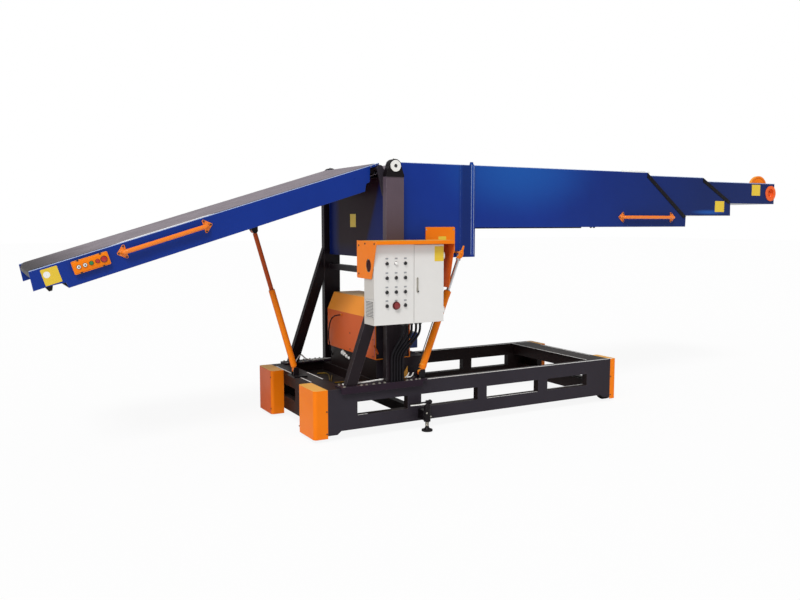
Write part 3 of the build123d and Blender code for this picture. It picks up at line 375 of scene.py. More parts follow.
@dataclass(frozen=True)
class HighlightEnamel(Enamel):
    """Enamel with painted highlights in wide soft patches, and that deepens towards the nose.

    Each oval patch of painted highlight is its middle and its half sizes along X and Z. A painted
    shade lies along the left of the boom's folded rib, between the two X of the fold.
    """

    paler: Colour = (0.02, 0.08, 0.3)
    dark: Colour = (0.01, 0.02, 0.1)
    dark_from: float = 0.20
    dark_over: float = 2.2
    patches: tuple[tuple[float, float, float, float], ...] = (
        (0.18, 2.02, 0.95, 0.46), (2.47, 1.682, 0.30, 0.030),
    )
    fold: tuple[float, float] = (-0.385, -0.296)

    def body(self, g: Graph, plain: Wire) -> Wire:
        """Deepen the paint, paint highlights inside the patches and paint the shade beside the fold."""
        x, z = g.along("X"), g.along("Z")
        colour = g.mixed(((x - self.dark_from) / self.dark_over).clamped(), plain, self.dark)
        # Painted highlights: each oval patch is mixed towards the paler colour.
        for middle_x, middle_z, half_x, half_z in self.patches:
            across = (x - middle_x) / half_x
            rise = (z - middle_z) / half_z
            inside = (1 - (across * across + rise * rise)).clamped()
            colour = g.mixed(inside * inside, colour, self.paler)
        start, end = self.fold
        # Painted shade along the left of the rib's fold.
        grime = x.above(start, 0.05) * (1 - x.above(end, 0.012)) * 0.8
        return g.mixed(grime.clamped(), colour, self.dark)


@dataclass(frozen=True)
class ShadedFrameEnamel(Enamel):
    """Enamel that is grey on the near side's outer face and near black with painted shade everywhere else."""

    painted_shade: Colour = (0.01, 0.008, 0.008)
    near_side: float = -0.36

    def body(self, g: Graph, plain: Wire) -> Wire:
        """Keep the grey on the near side's outer face only, less of it to the right; paint shade elsewhere.
        """
        front = (g.facing("Y") * -1).above(0.5, 0.4) * (1 - g.along("Y").above(self.near_side, 0.04))
        right = ((g.along("X") - 0.2) / 2.2).clamped() * 0.55
        return g.mixed((front * (1 - right)).clamped(), self.painted_shade, plain)


@dataclass(frozen=True)
class LeftShadedEnamel(Enamel):
    """Enamel with painted shade, a darker grey, on the faces turned left."""

    side: Colour = (0.5, 0.5, 0.5)

    def body(self, g: Graph, plain: Wire) -> Wire:
        """Darken the left faces with painted shade."""
        return g.mixed((g.facing("X") * -1).above(0.8, 0.2), plain, self.side)


@dataclass(frozen=True)
class LitEnamel(Enamel):
    """Enamel with a painted highlight on top faces and slopes, and painted shade on the inner pieces' left
    faces.
    """

    top_highlight: Colour = (1.0, 0.6, 0.3)
    left_shade: Colour = (0.5, 0.1, 0.02)
    inner_x: float = -1.20
    inner_y: float = -0.15
    slope_share: float = 0.5

    def body(self, g: Graph, plain: Wire) -> Wire:
        """Blend the three tones by which way the surface faces."""
        top = g.facing("Z").above(0.85, 0.2)
        slope = g.facing("Z").above(0.35, 0.2) * self.slope_share
        deep, right = g.along("Y").above(self.inner_y, 0.03), g.along("X").above(self.inner_x, 0.03)
        left = (g.facing("X") * -1).above(0.94, 0.06) * g.math("MAXIMUM", deep, right)
        return g.mixed(
            g.math("MAXIMUM", top, slope), g.mixed(left.clamped(), plain, self.left_shade), self.top_highlight
        )


@dataclass(frozen=True)
class Steel:
    """Bare steel with fine turning or brushing lines and a little tarnish."""

    name: str
    colour: Colour
    tarnish: Colour
    roughness: float = 0.34
    lines: tuple[float, float, float] = (900.0, 40.0, 900.0)

    def material(self) -> bpy.types.Material:
        """Build the finish."""
        g = Graph(self.name)
        brushed = g.noise(1.0, 3.0, g.stretched(*self.lines))
        spots = g.noise(30.0, 5.0)
        mottled = g.mixed(spots.above(0.56, 0.3) * 0.6, self.colour, self.tarnish)
        return g.surface(
            Base_Color=g.mixed(brushed * 0.35, mottled, self.tarnish),
            Metallic=1.0,
            Roughness=(self.roughness + brushed * 0.14 + spots * 0.1 - 0.1).clamped(),
            Normal=g.bumped(brushed, 0.00004, g.edge_normal(0.0012)),
        )


@dataclass(frozen=True)
class Rubber:
    """Moulded or drawn black rubber, dull, with a fine grain and grey bloom."""

    name: str
    colour: Colour
    bloom: Colour
    roughness: float = 0.62
    grain: float = 420.0

    def material(self) -> bpy.types.Material:
        """Build the finish."""
        g = Graph(self.name)
        grain = g.noise(self.grain, 3.0)
        bloom = g.noise(14.0, 5.0).above(0.55, 0.4)
        return g.surface(
            Base_Color=g.mixed(bloom * 0.35, self.colour, self.bloom),
            Roughness=(self.roughness + grain * 0.12 - 0.06).clamped(),
            Specular_IOR_Level=0.2,
            Normal=g.bumped(grain, 0.00008, g.edge_normal(0.0015)),
        )


@dataclass(frozen=True)
class BeltCover:
    """A conveyor belt's cover: grey PVC over cloth, with its weave, scuffs and tracks of use."""

    name: str
    colour: Colour
    worn: Colour
    weave: float = 2100.0
    darkening_from: float = -3.02
    darkening_over: float = 0.45

    def material(self) -> bpy.types.Material:
        """Build the finish."""
        g = Graph(self.name)
        across = (g.along("Y") * self.weave).sine() * 0.5 + 0.5
        length = (g.along("X") * self.weave).sine() * 0.5 + 0.5
        cloth = across * length
        tracks = g.noise(1.0, 4.0, g.stretched(0.7, 34.0, 0.7)).above(0.52, 0.3)
        scuffs = g.noise(7.0, 6.0).above(0.54, 0.3)
        used = (tracks * 0.55 + scuffs * 0.45).clamped()
        grime = g.cells(45.0).above(0.35, 0.5)
        clean = g.mixed(used * 0.75, self.colour, self.worn)
        # The belt grows darker towards the tail's left end.
        darkening = ((self.darkening_from - g.along("X")) / self.darkening_over).clamped()
        shade = g.mixed(darkening, clean, paint(34, 28, 32))
        return g.surface(
            Base_Color=g.mixed((1 - grime) * 0.10, shade, paint(52, 50, 50)),
            Roughness=(0.60 - used * 0.12 + cloth * 0.08).clamped(),
            Normal=g.bumped(cloth * 0.7 + g.noise(900.0, 2.0) * 0.3, 0.00018, g.edge_normal(0.0015)),
        )


@dataclass(frozen=True)
class Moulding:
    """Moulded plastic, with a faint texture and handling marks."""

    name: str
    colour: Colour
    roughness: float = 0.30
    coat: float = 0.2

    def material(self) -> bpy.types.Material:
        """Build the finish."""
        g = Graph(self.name)
        grain = g.noise(1400.0, 2.0)
        marks = g.noise(60.0, 5.0).above(0.55, 0.3)
        greyed = g.mixed(0.25, self.colour, paint(140, 138, 134))
        return g.surface(
            Base_Color=g.mixed(marks * 0.22, self.colour, greyed),
            Roughness=(self.roughness + marks * 0.12 + grain * 0.05).clamped(),
            Coat_Weight=self.coat,
            Normal=g.bumped(grain, 0.00002, g.edge_normal(0.0008)),
        )


@dataclass(frozen=True)
class Vinyl:
    """A blank sign on vinyl film, with faded patches."""

    name: str
    colour: Colour
    paler: Colour

    def material(self) -> bpy.types.Material:
        """Build the finish."""
        g = Graph(self.name)
        fade = g.noise(26.0, 4.0).above(0.5, 0.5)
        film = g.noise(700.0, 2.0)
        return g.surface(
            Base_Color=g.mixed(fade * 0.5, self.colour, self.paler),
            Roughness=(0.36 + fade * 0.12).clamped(),
            Normal=g.bumped(film, 0.00002),
        )


class Finish(Enum):
    """The machine's finishes."""

    # The blue carries painted highlights in soft patches and a painted shade beside the boom's rib.
    BLUE = HighlightEnamel(
        "blue_enamel", paint(14, 50, 142), paint(12, 44, 128), paint(96, 132, 208), roughness=0.30,
        coat=0.10, dust=0.04, shine=0.14, paler=paint(22, 80, 162), dark=paint(12, 34, 92),
    )
    MOTOR_BLUE = Enamel(
        "motor_enamel", paint(16, 50, 120), paint(12, 40, 100), paint(96, 132, 208), coat=0.10, dust=0.04
    )
    # Pale blue that stands in for a highlight on the rolled edges and the rib's beads.
    EDGE_BLUE = Enamel(
        "edge_highlight_enamel", paint(172, 190, 226), paint(140, 162, 208), paint(216, 226, 244)
    )
    ORANGE = LitEnamel(
        "orange_enamel", paint(246, 132, 14), paint(236, 116, 10), paint(252, 190, 110), roughness=0.36,
        coat=0.04, dust=0.0, shine=0.10, top_highlight=paint(255, 188, 80), left_shade=paint(214, 92, 28),
    )
    HANDLE_ORANGE = Enamel(
        "handle_enamel", paint(247, 132, 22), paint(238, 118, 16), paint(252, 200, 130), roughness=0.24,
        coat=0.6, dust=0.0,
    )
    SHADED_ORANGE = Enamel(
        "shaded_orange_enamel", paint(196, 84, 26), paint(168, 62, 18), paint(240, 150, 80),
        roughness=0.36, coat=0.10, dust=0.0, shine=0.12,
    )
    # A redder orange as painted shade on the nose rings and inside their cups.
    RING_ORANGE = Enamel(
        "ring_shaded_enamel", paint(244, 104, 40), paint(230, 88, 30), paint(250, 170, 120), roughness=0.34,
        coat=0.15, dust=0.0, shine=0.14,
    )
    # The frame's charcoal carries painted shade everywhere but the near side's outer face.
    CHARCOAL = ShadedFrameEnamel(
        "charcoal_enamel", paint(50, 46, 54), paint(40, 35, 42), paint(96, 92, 100), roughness=0.46,
        grain=340.0, peel=0.00016, coat=0.04, dust=0.05, shine=0.12, painted_shade=paint(30, 20, 20),
    )
    BED_BLACK = Enamel(
        "bed_enamel", paint(44, 28, 42), paint(30, 20, 31), paint(84, 74, 88), roughness=0.44,
        grain=340.0, peel=0.00016, coat=0.04, dust=0.05, shine=0.12,
    )
    # The rear panel's dark brown middle is painted shade over its blue.
    BROWN = ShadedPanelEnamel(
        "shaded_brown_enamel", paint(40, 15, 28), paint(30, 12, 22), paint(60, 46, 70), roughness=0.36,
        grain=300.0, coat=0.02, dust=0.0, shine=0.06, panel_blue=paint(8, 24, 88),
    )
    # The posts carry painted shade: darker lower down and all over the far post.
    POST_GREY = ShadedPostEnamel(
        "post_enamel_shaded", paint(96, 82, 92), paint(80, 68, 77), paint(150, 142, 150), roughness=0.42,
        grain=340.0, peel=0.00014, coat=0.06, dust=0.05, shine=0.14, low=paint(28, 19, 24),
    )
    BLACK = Enamel(
        "black_enamel", paint(20, 14, 18), paint(14, 11, 14), paint(60, 56, 62), roughness=0.40,
        grain=300.0, coat=0.06, dust=0.05, shine=0.14,
    )
    CABINET = LeftShadedEnamel(
        "cabinet_powder", paint(228, 226, 223), paint(220, 218, 214), paint(246, 246, 244),
        roughness=0.46, grain=900.0, peel=0.00012, wear=0.10, coat=0.05, dust=0.05, round_over=0.003,
        side=paint(200, 196, 190),
    )
    # Near white; on the frame's top edges it is a painted highlight.
    BRIGHT = Enamel(
        "bright_edge", paint(250, 249, 246), paint(240, 238, 234), paint(255, 255, 255), dust=0.0
    )
    GUSSET = Enamel(
        "gusset_enamel", paint(196, 138, 20), paint(170, 112, 14), paint(240, 200, 120), dust=0.0
    )
    DECK = Steel("deck_steel", paint(150, 152, 156), paint(112, 110, 108), lines=(30.0, 700.0, 700.0))
    STEEL = Steel("turned_steel", paint(176, 176, 178), paint(126, 122, 118))
    ZINC = Steel("zinc_plate", paint(200, 198, 190), paint(160, 152, 138), roughness=0.42)
    CHROME = Steel("chrome_rod", paint(226, 226, 228), paint(196, 198, 202), roughness=0.16)
    BRASS = Steel("brass_pipe", paint(176, 146, 62), paint(120, 92, 36), roughness=0.4)
    BELT = BeltCover("belt_cover", paint(126, 116, 124), paint(156, 146, 154))
    RUBBER = Rubber("black_rubber", paint(11, 8, 13), paint(27, 23, 31))
    TYRE = Rubber("tyre_rubber", paint(34, 33, 33), paint(80, 78, 75), 0.7, 260.0)
    PORT = Rubber("port_rubber", paint(44, 8, 12), paint(70, 20, 22))
    WHITE = Moulding("white_moulding", paint(236, 236, 232))
    INK = Moulding("black_moulding", paint(22, 22, 24))
    RED = Moulding("red_moulding", paint(178, 22, 26))
    DARK_RED = Moulding("dark_red_moulding", paint(84, 12, 16))
    DEEP_RED = Moulding("deep_red_moulding", paint(128, 22, 26))
    GREEN = Moulding("green_moulding", paint(20, 128, 60))
    GREY = Moulding("grey_moulding", paint(150, 152, 154), 0.4)
    YELLOW = Vinyl("yellow_sign", paint(226, 190, 34), paint(232, 200, 70))
    SIGN_WHITE = Vinyl("white_sign", paint(240, 240, 236), paint(228, 226, 220))

    @cache
    def material(self) -> bpy.types.Material:
        """The finish's material, built when it is first asked for."""
        return self.value.material()


@dataclass(frozen=True)
class Bench:
    """Axes that a form is drawn on: a place, a right and an up, with out square to both."""

    origin: Vector
    right: Vector
    up: Vector

    @property
    def out(self) -> Vector:
        """The direction that the form stands out in."""
        return self.right.cross(self.up)

    def at(self, x: float, y: float, z: float = 0.0) -> Vector:
        """The point x to the right, y up and z out."""
        return self.origin + self.right * x + self.up * y + self.out * z

    def moved(self, x: float, y: float, z: float = 0.0) -> "Bench":
        """The same axes from a point x to the right, y up and z out."""
        return Bench(self.at(x, y, z), self.right, self.up)


class Face(Enum):
    """The ways a form can stand out from the machine, as its right and up directions."""

    NEAR = ((1, 0, 0), (0, 0, 1))
    FAR = ((-1, 0, 0), (0, 0, 1))
    LEFT = ((0, -1, 0), (0, 0, 1))
    RIGHT = ((0, 1, 0), (0, 0, 1))
    TOP = ((1, 0, 0), (0, 1, 0))
    UNDER = ((1, 0, 0), (0, -1, 0))


class Side(Enum):
    """The operator's side and the far side."""

    NEAR = "near"
    FAR = "far"

    def choose(self, near: float, far: float) -> float:
        """The first on the operator's side and the second on the far side."""
        return near if self is Side.NEAR else far


class Machine:
    """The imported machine's places."""

    width = 1.2
    slope = math.radians(17.1)
    tail_pivot = (0.565, 1.979)

    def __init__(self) -> None:
        """Find the base's left end and near side in the frame."""
        covers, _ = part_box("wheel_covers")
        sides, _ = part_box("side_frames")
        self.origin = Vector((covers.x, sides.y, 0.0))

    def at(self, x: float, y: float, z: float) -> Vector:
        """A place on the machine in the row's frame."""
        return self.origin + Vector((x, y, z))

    def depth(self, side: Side, inset: float) -> float:
        """How far back from the near side a place inset from one side is."""
        return side.choose(inset, self.width - inset)

    def bench(self, face: Face, x: float, y: float, z: float) -> Bench:
        """Axes at a place on the machine, standing out by a face."""
        return Bench(self.at(x, y, z), *(Vector(way) for way in face.value))

    def beside(self, side: Side, x: float, inset: float, z: float) -> Bench:
        """Axes facing out from one of the base's long sides, inset from it."""
        return self.bench(Face[side.name], x, self.depth(side, inset), z)

    def tail_beside(self, side: Side, u: float, inset: float, v: float) -> Bench:
        """Axes on the sloping tail, u along it from its pivot and v square to it.

        Args:
            side: The side that they face out from.
            u: Distance from the pivot, negative towards the tail's tip.
            inset: How far in from that side of the base.
            v: Distance square to the tail's line.

        Returns:
            The axes, tilted with the tail.
        """
        cos, sin = math.cos(self.slope), math.sin(self.slope)
        pivot_x, pivot_z = self.tail_pivot
        origin = self.at(
            pivot_x + u * cos - v * sin, self.depth(side, inset), pivot_z + u * sin + v * cos
        )
        ways = Face[side.name].value
        return Bench(origin, *(Vector((a * cos - c * sin, b, a * sin + c * cos)) for a, b, c in ways))


def around(count: int) -> list[float]:
    """Angles evenly round a turn."""
    return [2 * math.pi * i / count for i in range(count)]


def rounded(width: float, height: float, radius: float, steps: int = 4) -> list[Point]:
    """The outline of a rectangle with round corners, about its middle.

    Args:
        width: Its whole width.
        height: Its whole height.
        radius: The corners' radius.
        steps: Points in each corner, less one.

    Returns:
        The outline's points.
    """
    outline = []
    for corner, (side, rise) in enumerate(((1, 1), (-1, 1), (-1, -1), (1, -1))):
        middle_x = side * (width / 2 - radius)
        middle_y = rise * (height / 2 - radius)
        for step in range(steps + 1):
            angle = math.pi / 2 * (corner + step / steps)
            outline.append((middle_x + radius * math.cos(angle), middle_y + radius * math.sin(angle)))
    return outline


def disc(radius: float, height: float) -> list[Point]:
    """The profile of a plain disc, as radius and height."""
    return [(0.0, 0.0), (radius, 0.0), (radius, height), (0.0, height)]


class Form:
    """A mesh in the making, and the piece that it becomes."""

    sharp_from = math.radians(32)

    def __init__(self, name: str, finish: Finish, body: Body = Body.BASE, slot: str = "") -> None:
        """Start with nothing.

        Args:
            name: The piece's name.
            finish: Its finish.
            body: The body it rides on.
            slot: Not used.
        """
        self.mesh = bmesh.new()
        self.name = name
        self.finish = finish
        self.body = body
        self.slot = slot

    def _close(self, faces: Sequence[bmesh.types.BMFace]) -> "Form":
        """Turn new faces outwards."""
        bmesh.ops.recalc_face_normals(self.mesh, faces=faces)
        return self

    def slab(
        self, bench: Bench, outline: Iterable[Point], low: float, high: float, ease: float = 0.0
    ) -> "Form":
        """Add a plate with an outline.

        Args:
            bench: The axes it is drawn on.
            outline: Its points, to the right and up.
            low: Where it starts, outwards.
            high: Where it ends, outwards.
            ease: The bevel on its outer edge.

        Returns:
            This form.
        """
        points = list(outline)
        base = [self.mesh.verts.new(bench.at(x, y, low)) for x, y in points]
        top = [self.mesh.verts.new(bench.at(x, y, high)) for x, y in points]
        faces = [self.mesh.faces.new(top), self.mesh.faces.new(base[::-1])]
        for i in range(len(points)):
            j = (i + 1) % len(points)
            faces.append(self.mesh.faces.new((base[i], base[j], top[j], top[i])))
        self._close(faces)
        if ease:
            rim = list(faces[0].edges)
            bmesh.ops.bevel(self.mesh, geom=rim, offset=ease, segments=2, profile=0.5, affect="EDGES")
        return self

    def turned(self, bench: Bench, profile: Sequence[Point], segments: int = 24) -> "Form":
        """Add a turned form about the bench's out direction.

        Args:
            bench: The axes, with the turning axis outwards from the origin.
            profile: Points as (radius, height), from the axis round to the axis or to the start.
            segments: Steps round the axis.

        Returns:
            This form.
        """
        rings = []
        for radius, height in profile:
            angles = around(segments) if radius else [0.0]
            rings.append([
                self.mesh.verts.new(bench.at(radius * math.cos(a), radius * math.sin(a), height))
                for a in angles
            ])
        pairs = list(zip(rings, rings[1:]))
        if len(rings[0]) > 1 and len(rings[-1]) > 1:
            pairs.append((rings[-1], rings[0]))
        faces = []
        for lower, upper in pairs:
            for i in range(segments):
                j = (i + 1) % segments
                loop = (
                    lower[i % len(lower)], lower[j % len(lower)], upper[j % len(upper)], upper[i % len(upper)]
                )
                corners = list(dict.fromkeys(loop))
                if len(corners) > 2:
                    faces.append(self.mesh.faces.new(corners))
        return self._close(faces)

    def tube(self, points: Sequence[Vector], radius: float, sides: int = 8) -> "Form":
        """Add a round tube along a line of points, closed at its ends.

        Args:
            points: The tube's middle line.
            radius: Its outer radius.
            sides: Steps round it.

        Returns:
            This form.
        """
        rings = []
        side = None
        for i, point in enumerate(points):
            ahead = points[min(i + 1, len(points) - 1)] - points[max(i - 1, 0)]
            ahead.normalize()
            if side is None:
                side = ahead.orthogonal().normalized()
            side = (side - ahead * side.dot(ahead)).normalized()
            up = ahead.cross(side)
            rings.append([
                self.mesh.verts.new(point + (side * math.cos(a) + up * math.sin(a)) * radius)
                for a in around(sides)
            ])
        faces = [self.mesh.faces.new(rings[0][::-1]), self.mesh.faces.new(rings[-1])]
        for lower, upper in zip(rings, rings[1:]):
            for i in range(sides):
                j = (i + 1) % sides
                faces.append(self.mesh.faces.new((lower[i], lower[j], upper[j], upper[i])))
        return self._close(faces)

    def rod(self, start: Vector, end: Vector, steps: int, radius: float, sides: int = 8) -> "Form":
        """Add a straight tube between two places, in a number of steps."""
        return self.tube([start.lerp(end, i / steps) for i in range(steps + 1)], radius, sides)

    def bolt(self, bench: Bench, radius: float, washer: bool = True) -> "Form":
        """Add a hexagon bolt head.

        Args:
            bench: The axes at the bolt's seat.
            radius: From the head's middle to a corner.
            washer: Whether it sits on a washer.

        Returns:
            This form.
        """
        lift = radius * 0.22 if washer else 0.0
        if washer:
            self.turned(bench, disc(radius * 1.35, lift), 18)
        top = radius * 0.75
        profile = [(0.0, 0.0), (radius, 0.0), (radius, top * 0.8), (radius * 0.82, top), (0.0, top)]
        return self.turned(bench.moved(0.0, 0.0, lift), profile, 6)

    def screw(self, bench: Bench, radius: float) -> "Form":
        """Add a domed cap screw with a socket in its head."""
        shape = ((0, 0), (1, 0), (0.96, 0.28), (0.7, 0.5), (0.42, 0.56), (0.38, 0.2), (0, 0.2))
        return self.turned(bench, [(radius * out, radius * rise) for out, rise in shape], 14)

    def piece(self) -> bpy.types.Object:
        """Make the form an object that rides on its body.

        Returns:
            The object.
        """
        mesh = bpy.data.meshes.new(self.name)
        self.mesh.normal_update()
        self.mesh.to_mesh(mesh)
        self.mesh.free()
        mesh.shade_smooth()
        mesh.set_sharp_from_angle(angle=self.sharp_from)
        mesh.materials.append(self.finish.material())
        made = bpy.data.objects.new(self.name, mesh)
        bpy.context.scene.collection.objects.link(made)
        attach(made, self.body.value)
        log.info("%s on %s: %d faces", self.name, self.body.value, len(mesh.polygons))
        return made


@dataclass
class Studio:
    """The pale floor, the soft lamps and the camera."""

    camera_from_base: tuple[float, float, float] = (-2.1365, -5.1395, 1.5873)
    pitch: float = 5.6356
    yaw: float = 28.9015
    lens: float = 35.508
    sensor: float = 36.0
    floor_size: float = 120.0
    floor_white: float = 0.90
    daylight: float = 0.46
    lamps: tuple[tuple[str, float, tuple[float, float, float], float], ...] = (
        ("key_lamp", 1.75, (38.0, -10.0, -24.0), 18.0),
        ("fill_lamp", 0.45, (66.0, 0.0, -70.0), 40.0),
    )

    def build(self, machine: Machine) -> None:
        """Set up the floor, world, lamps and camera.

        Args:
            machine: The machine's places.
        """
        self._floor()
        self._world()
        self._lamps()
        self._camera(machine)
        bpy.context.scene.view_settings.view_transform = "Standard"

    def _linked(self, name: str, data: bpy.types.ID) -> bpy.types.Object:
        """Put an object in the scene.

        Args:
            name: Its name.
            data: Its mesh, lamp or camera.

        Returns:
            The object.
        """
        made = bpy.data.objects.new(name, data)
        bpy.context.scene.collection.objects.link(made)
        return made

    def _floor(self) -> None:
        """Lay the white floor, which keeps the machine's shadow."""
        half = self.floor_size / 2
        mesh = bpy.data.meshes.new("studio_floor")
        corners = [(x * half, y * half, 0.0) for x, y in ((-1, -1), (1, -1), (1, 1), (-1, 1))]
        mesh.from_pydata(corners, [], [range(4)])
        mesh.materials.append(self._floor_finish())
        self._linked("studio_floor", mesh)

    def _floor_finish(self) -> bpy.types.Material:
        """White to the camera, apart from the machine's soft shadow."""
        g = Graph("studio_floor")
        tone = g.noise(3.0, 2.0)
        g.surface(Base_Color=g.mixed(tone, paint(246, 246, 246), paint(250, 250, 250)), Roughness=0.9)
        shaded = next(n for n in g.tree.nodes if n.type == "BSDF_PRINCIPLED")
        out = next(n for n in g.tree.nodes if n.type == "OUTPUT_MATERIAL")
        share = g.output("ShaderNodeLightPath", "Is Camera Ray") * self.floor_white
        white = g.output("ShaderNodeEmission", 0, None, {"Strength": 1.0})
        mix = g.output("ShaderNodeMixShader", 0, None, {0: share, 1: Wire(g, shaded.outputs[0]), 2: white})
        g.tree.links.new(mix.socket, out.inputs["Surface"])
        return g.owner

    def _world(self) -> None:
        """Light the machine evenly, with white behind it."""
        world = bpy.data.worlds.new("studio")
        bpy.context.scene.world = world
        g = Graph("studio", world)
        camera, through = (
            g.output("ShaderNodeLightPath", f"Is {kind} Ray") for kind in ("Camera", "Transmission")
        )
        soft, white = (
            g.output("ShaderNodeBackground", 0, None, {"Color": (1.0, 1.0, 1.0, 1.0), "Strength": power})
            for power in (self.daylight, 1.0)
        )
        seen = g.math("MAXIMUM", camera, through)
        mix = g.output("ShaderNodeMixShader", 0, None, {0: seen, 1: soft, 2: white})
        g.node("ShaderNodeOutputWorld", None, {"Surface": mix})

    def _lamps(self) -> None:
        """Hang the broad lamps."""
        for name, power, turn, spread in self.lamps:
            lamp = bpy.data.lights.new(name, "SUN")
            lamp.energy = power
            lamp.angle = math.radians(spread)
            self._linked(name, lamp).rotation_euler = [math.radians(a) for a in turn]

    def _camera(self, machine: Machine) -> None:
        """Stand the camera where the photograph was taken.

        Args:
            machine: The machine's places.
        """
        data = bpy.data.cameras.new("camera")
        data.sensor_width = self.sensor
        data.lens = self.lens
        camera = self._linked("camera", data)
        camera.location = machine.at(*self.camera_from_base)
        camera.rotation_euler = (math.radians(90 - self.pitch), 0.0, math.radians(-self.yaw))
        bpy.context.scene.camera = camera


@dataclass
class Assembly:
    """A sub-assembly of the scene, whose forms become its pieces once all are drawn."""

    machine: Machine
    forms: list[Form] = field(default_factory=list, init=False)

    def build(self) -> None:
        """Draw the forms and make each a piece."""
        log.info("dressing %s", type(self).__name__)
        self.draw()
        for form in self.forms:
            form.piece()

    def draw(self) -> None:
        """Draw the forms."""
        raise NotImplementedError

    def form(self, name: str, finish: Finish, body: Body = Body.BASE, slot: str = "") -> Form:
        """Start a form of this assembly."""
        self.forms.append(Form(name, finish, body, slot))
        return self.forms[-1]

    def screws(
        self, name: str, finish: Finish, radius: float, seats: Iterable[Bench], body: Body = Body.BASE
    ) -> None:
        """Drive domed screws, all as one piece.

        Args:
            name: The piece's name.
            finish: Their finish.
            radius: The heads' radius.
            seats: The axes at each screw's seat.
            body: The body that they ride on.
        """
        form = self.form(name, finish, body)
        for seat in seats:
            form.screw(seat, radius)

    def bolts(
        self, name: str, finish: Finish, radius: float, seats: Iterable[Bench],
        body: Body = Body.BASE, washer: bool = True,
    ) -> None:
        """Drive hexagon bolts, all as one piece.

        Args:
            name: The piece's name.
            finish: Their finish.
            radius: From a head's middle to a corner.
            seats: The axes at each bolt's seat.
            body: The body that they ride on.
            washer: Whether they sit on washers.
        """
        form = self.form(name, finish, body)
        for seat in seats:
            form.bolt(seat, radius, washer)


@dataclass
class Signs(Assembly):
    """The blank yellow signs, each a thin sheet of vinyl with round corners."""

    thickness: float = 0.0006
    corner: float = 0.004
    disc_radius: float = 0.020

    def draw(self) -> None:
        """Stick each sign where it shows."""
        bench = self.machine.bench
        tail = self.machine.tail_beside(Side.NEAR, -2.352, 0.130, -0.030)
        rows = (
            ("rear_panel_sign", Body.BOOM, bench(Face.LEFT, 0.630, 0.658, 1.600), 0.105, 0.105),
            ("section_2_sign", Body.MIDDLE, bench(Face.NEAR, 4.284, 0.095, 1.737), 0.130, 0.104),
            ("section_3_sign", Body.TIP, bench(Face.NEAR, 4.834, 0.114, 1.905), 0.126, 0.108),
            ("door_sign", Body.DOOR, bench(Face.NEAR, 0.9275, -0.185, 1.356), 0.078, 0.110),
            ("side_plate_sign", Body.BOOM, bench(Face.NEAR, 1.112, 0.067, 1.428), 0.070, 0.100),
            ("tail_sign", Body.TAIL, tail, 0.100, 0.104),
        )
        for name, body, seat, width, height in rows:
            outline = rounded(width, height, self.corner)
            self.form(name, Finish.YELLOW, body).slab(seat, outline, 0.0, self.thickness)
        spot = tail.moved(-0.022, 0.014, self.thickness)
        self.form("tail_sign_disc", Finish.SIGN_WHITE, Body.TAIL).turned(
            spot, disc(self.disc_radius, 0.0004), 32
        )


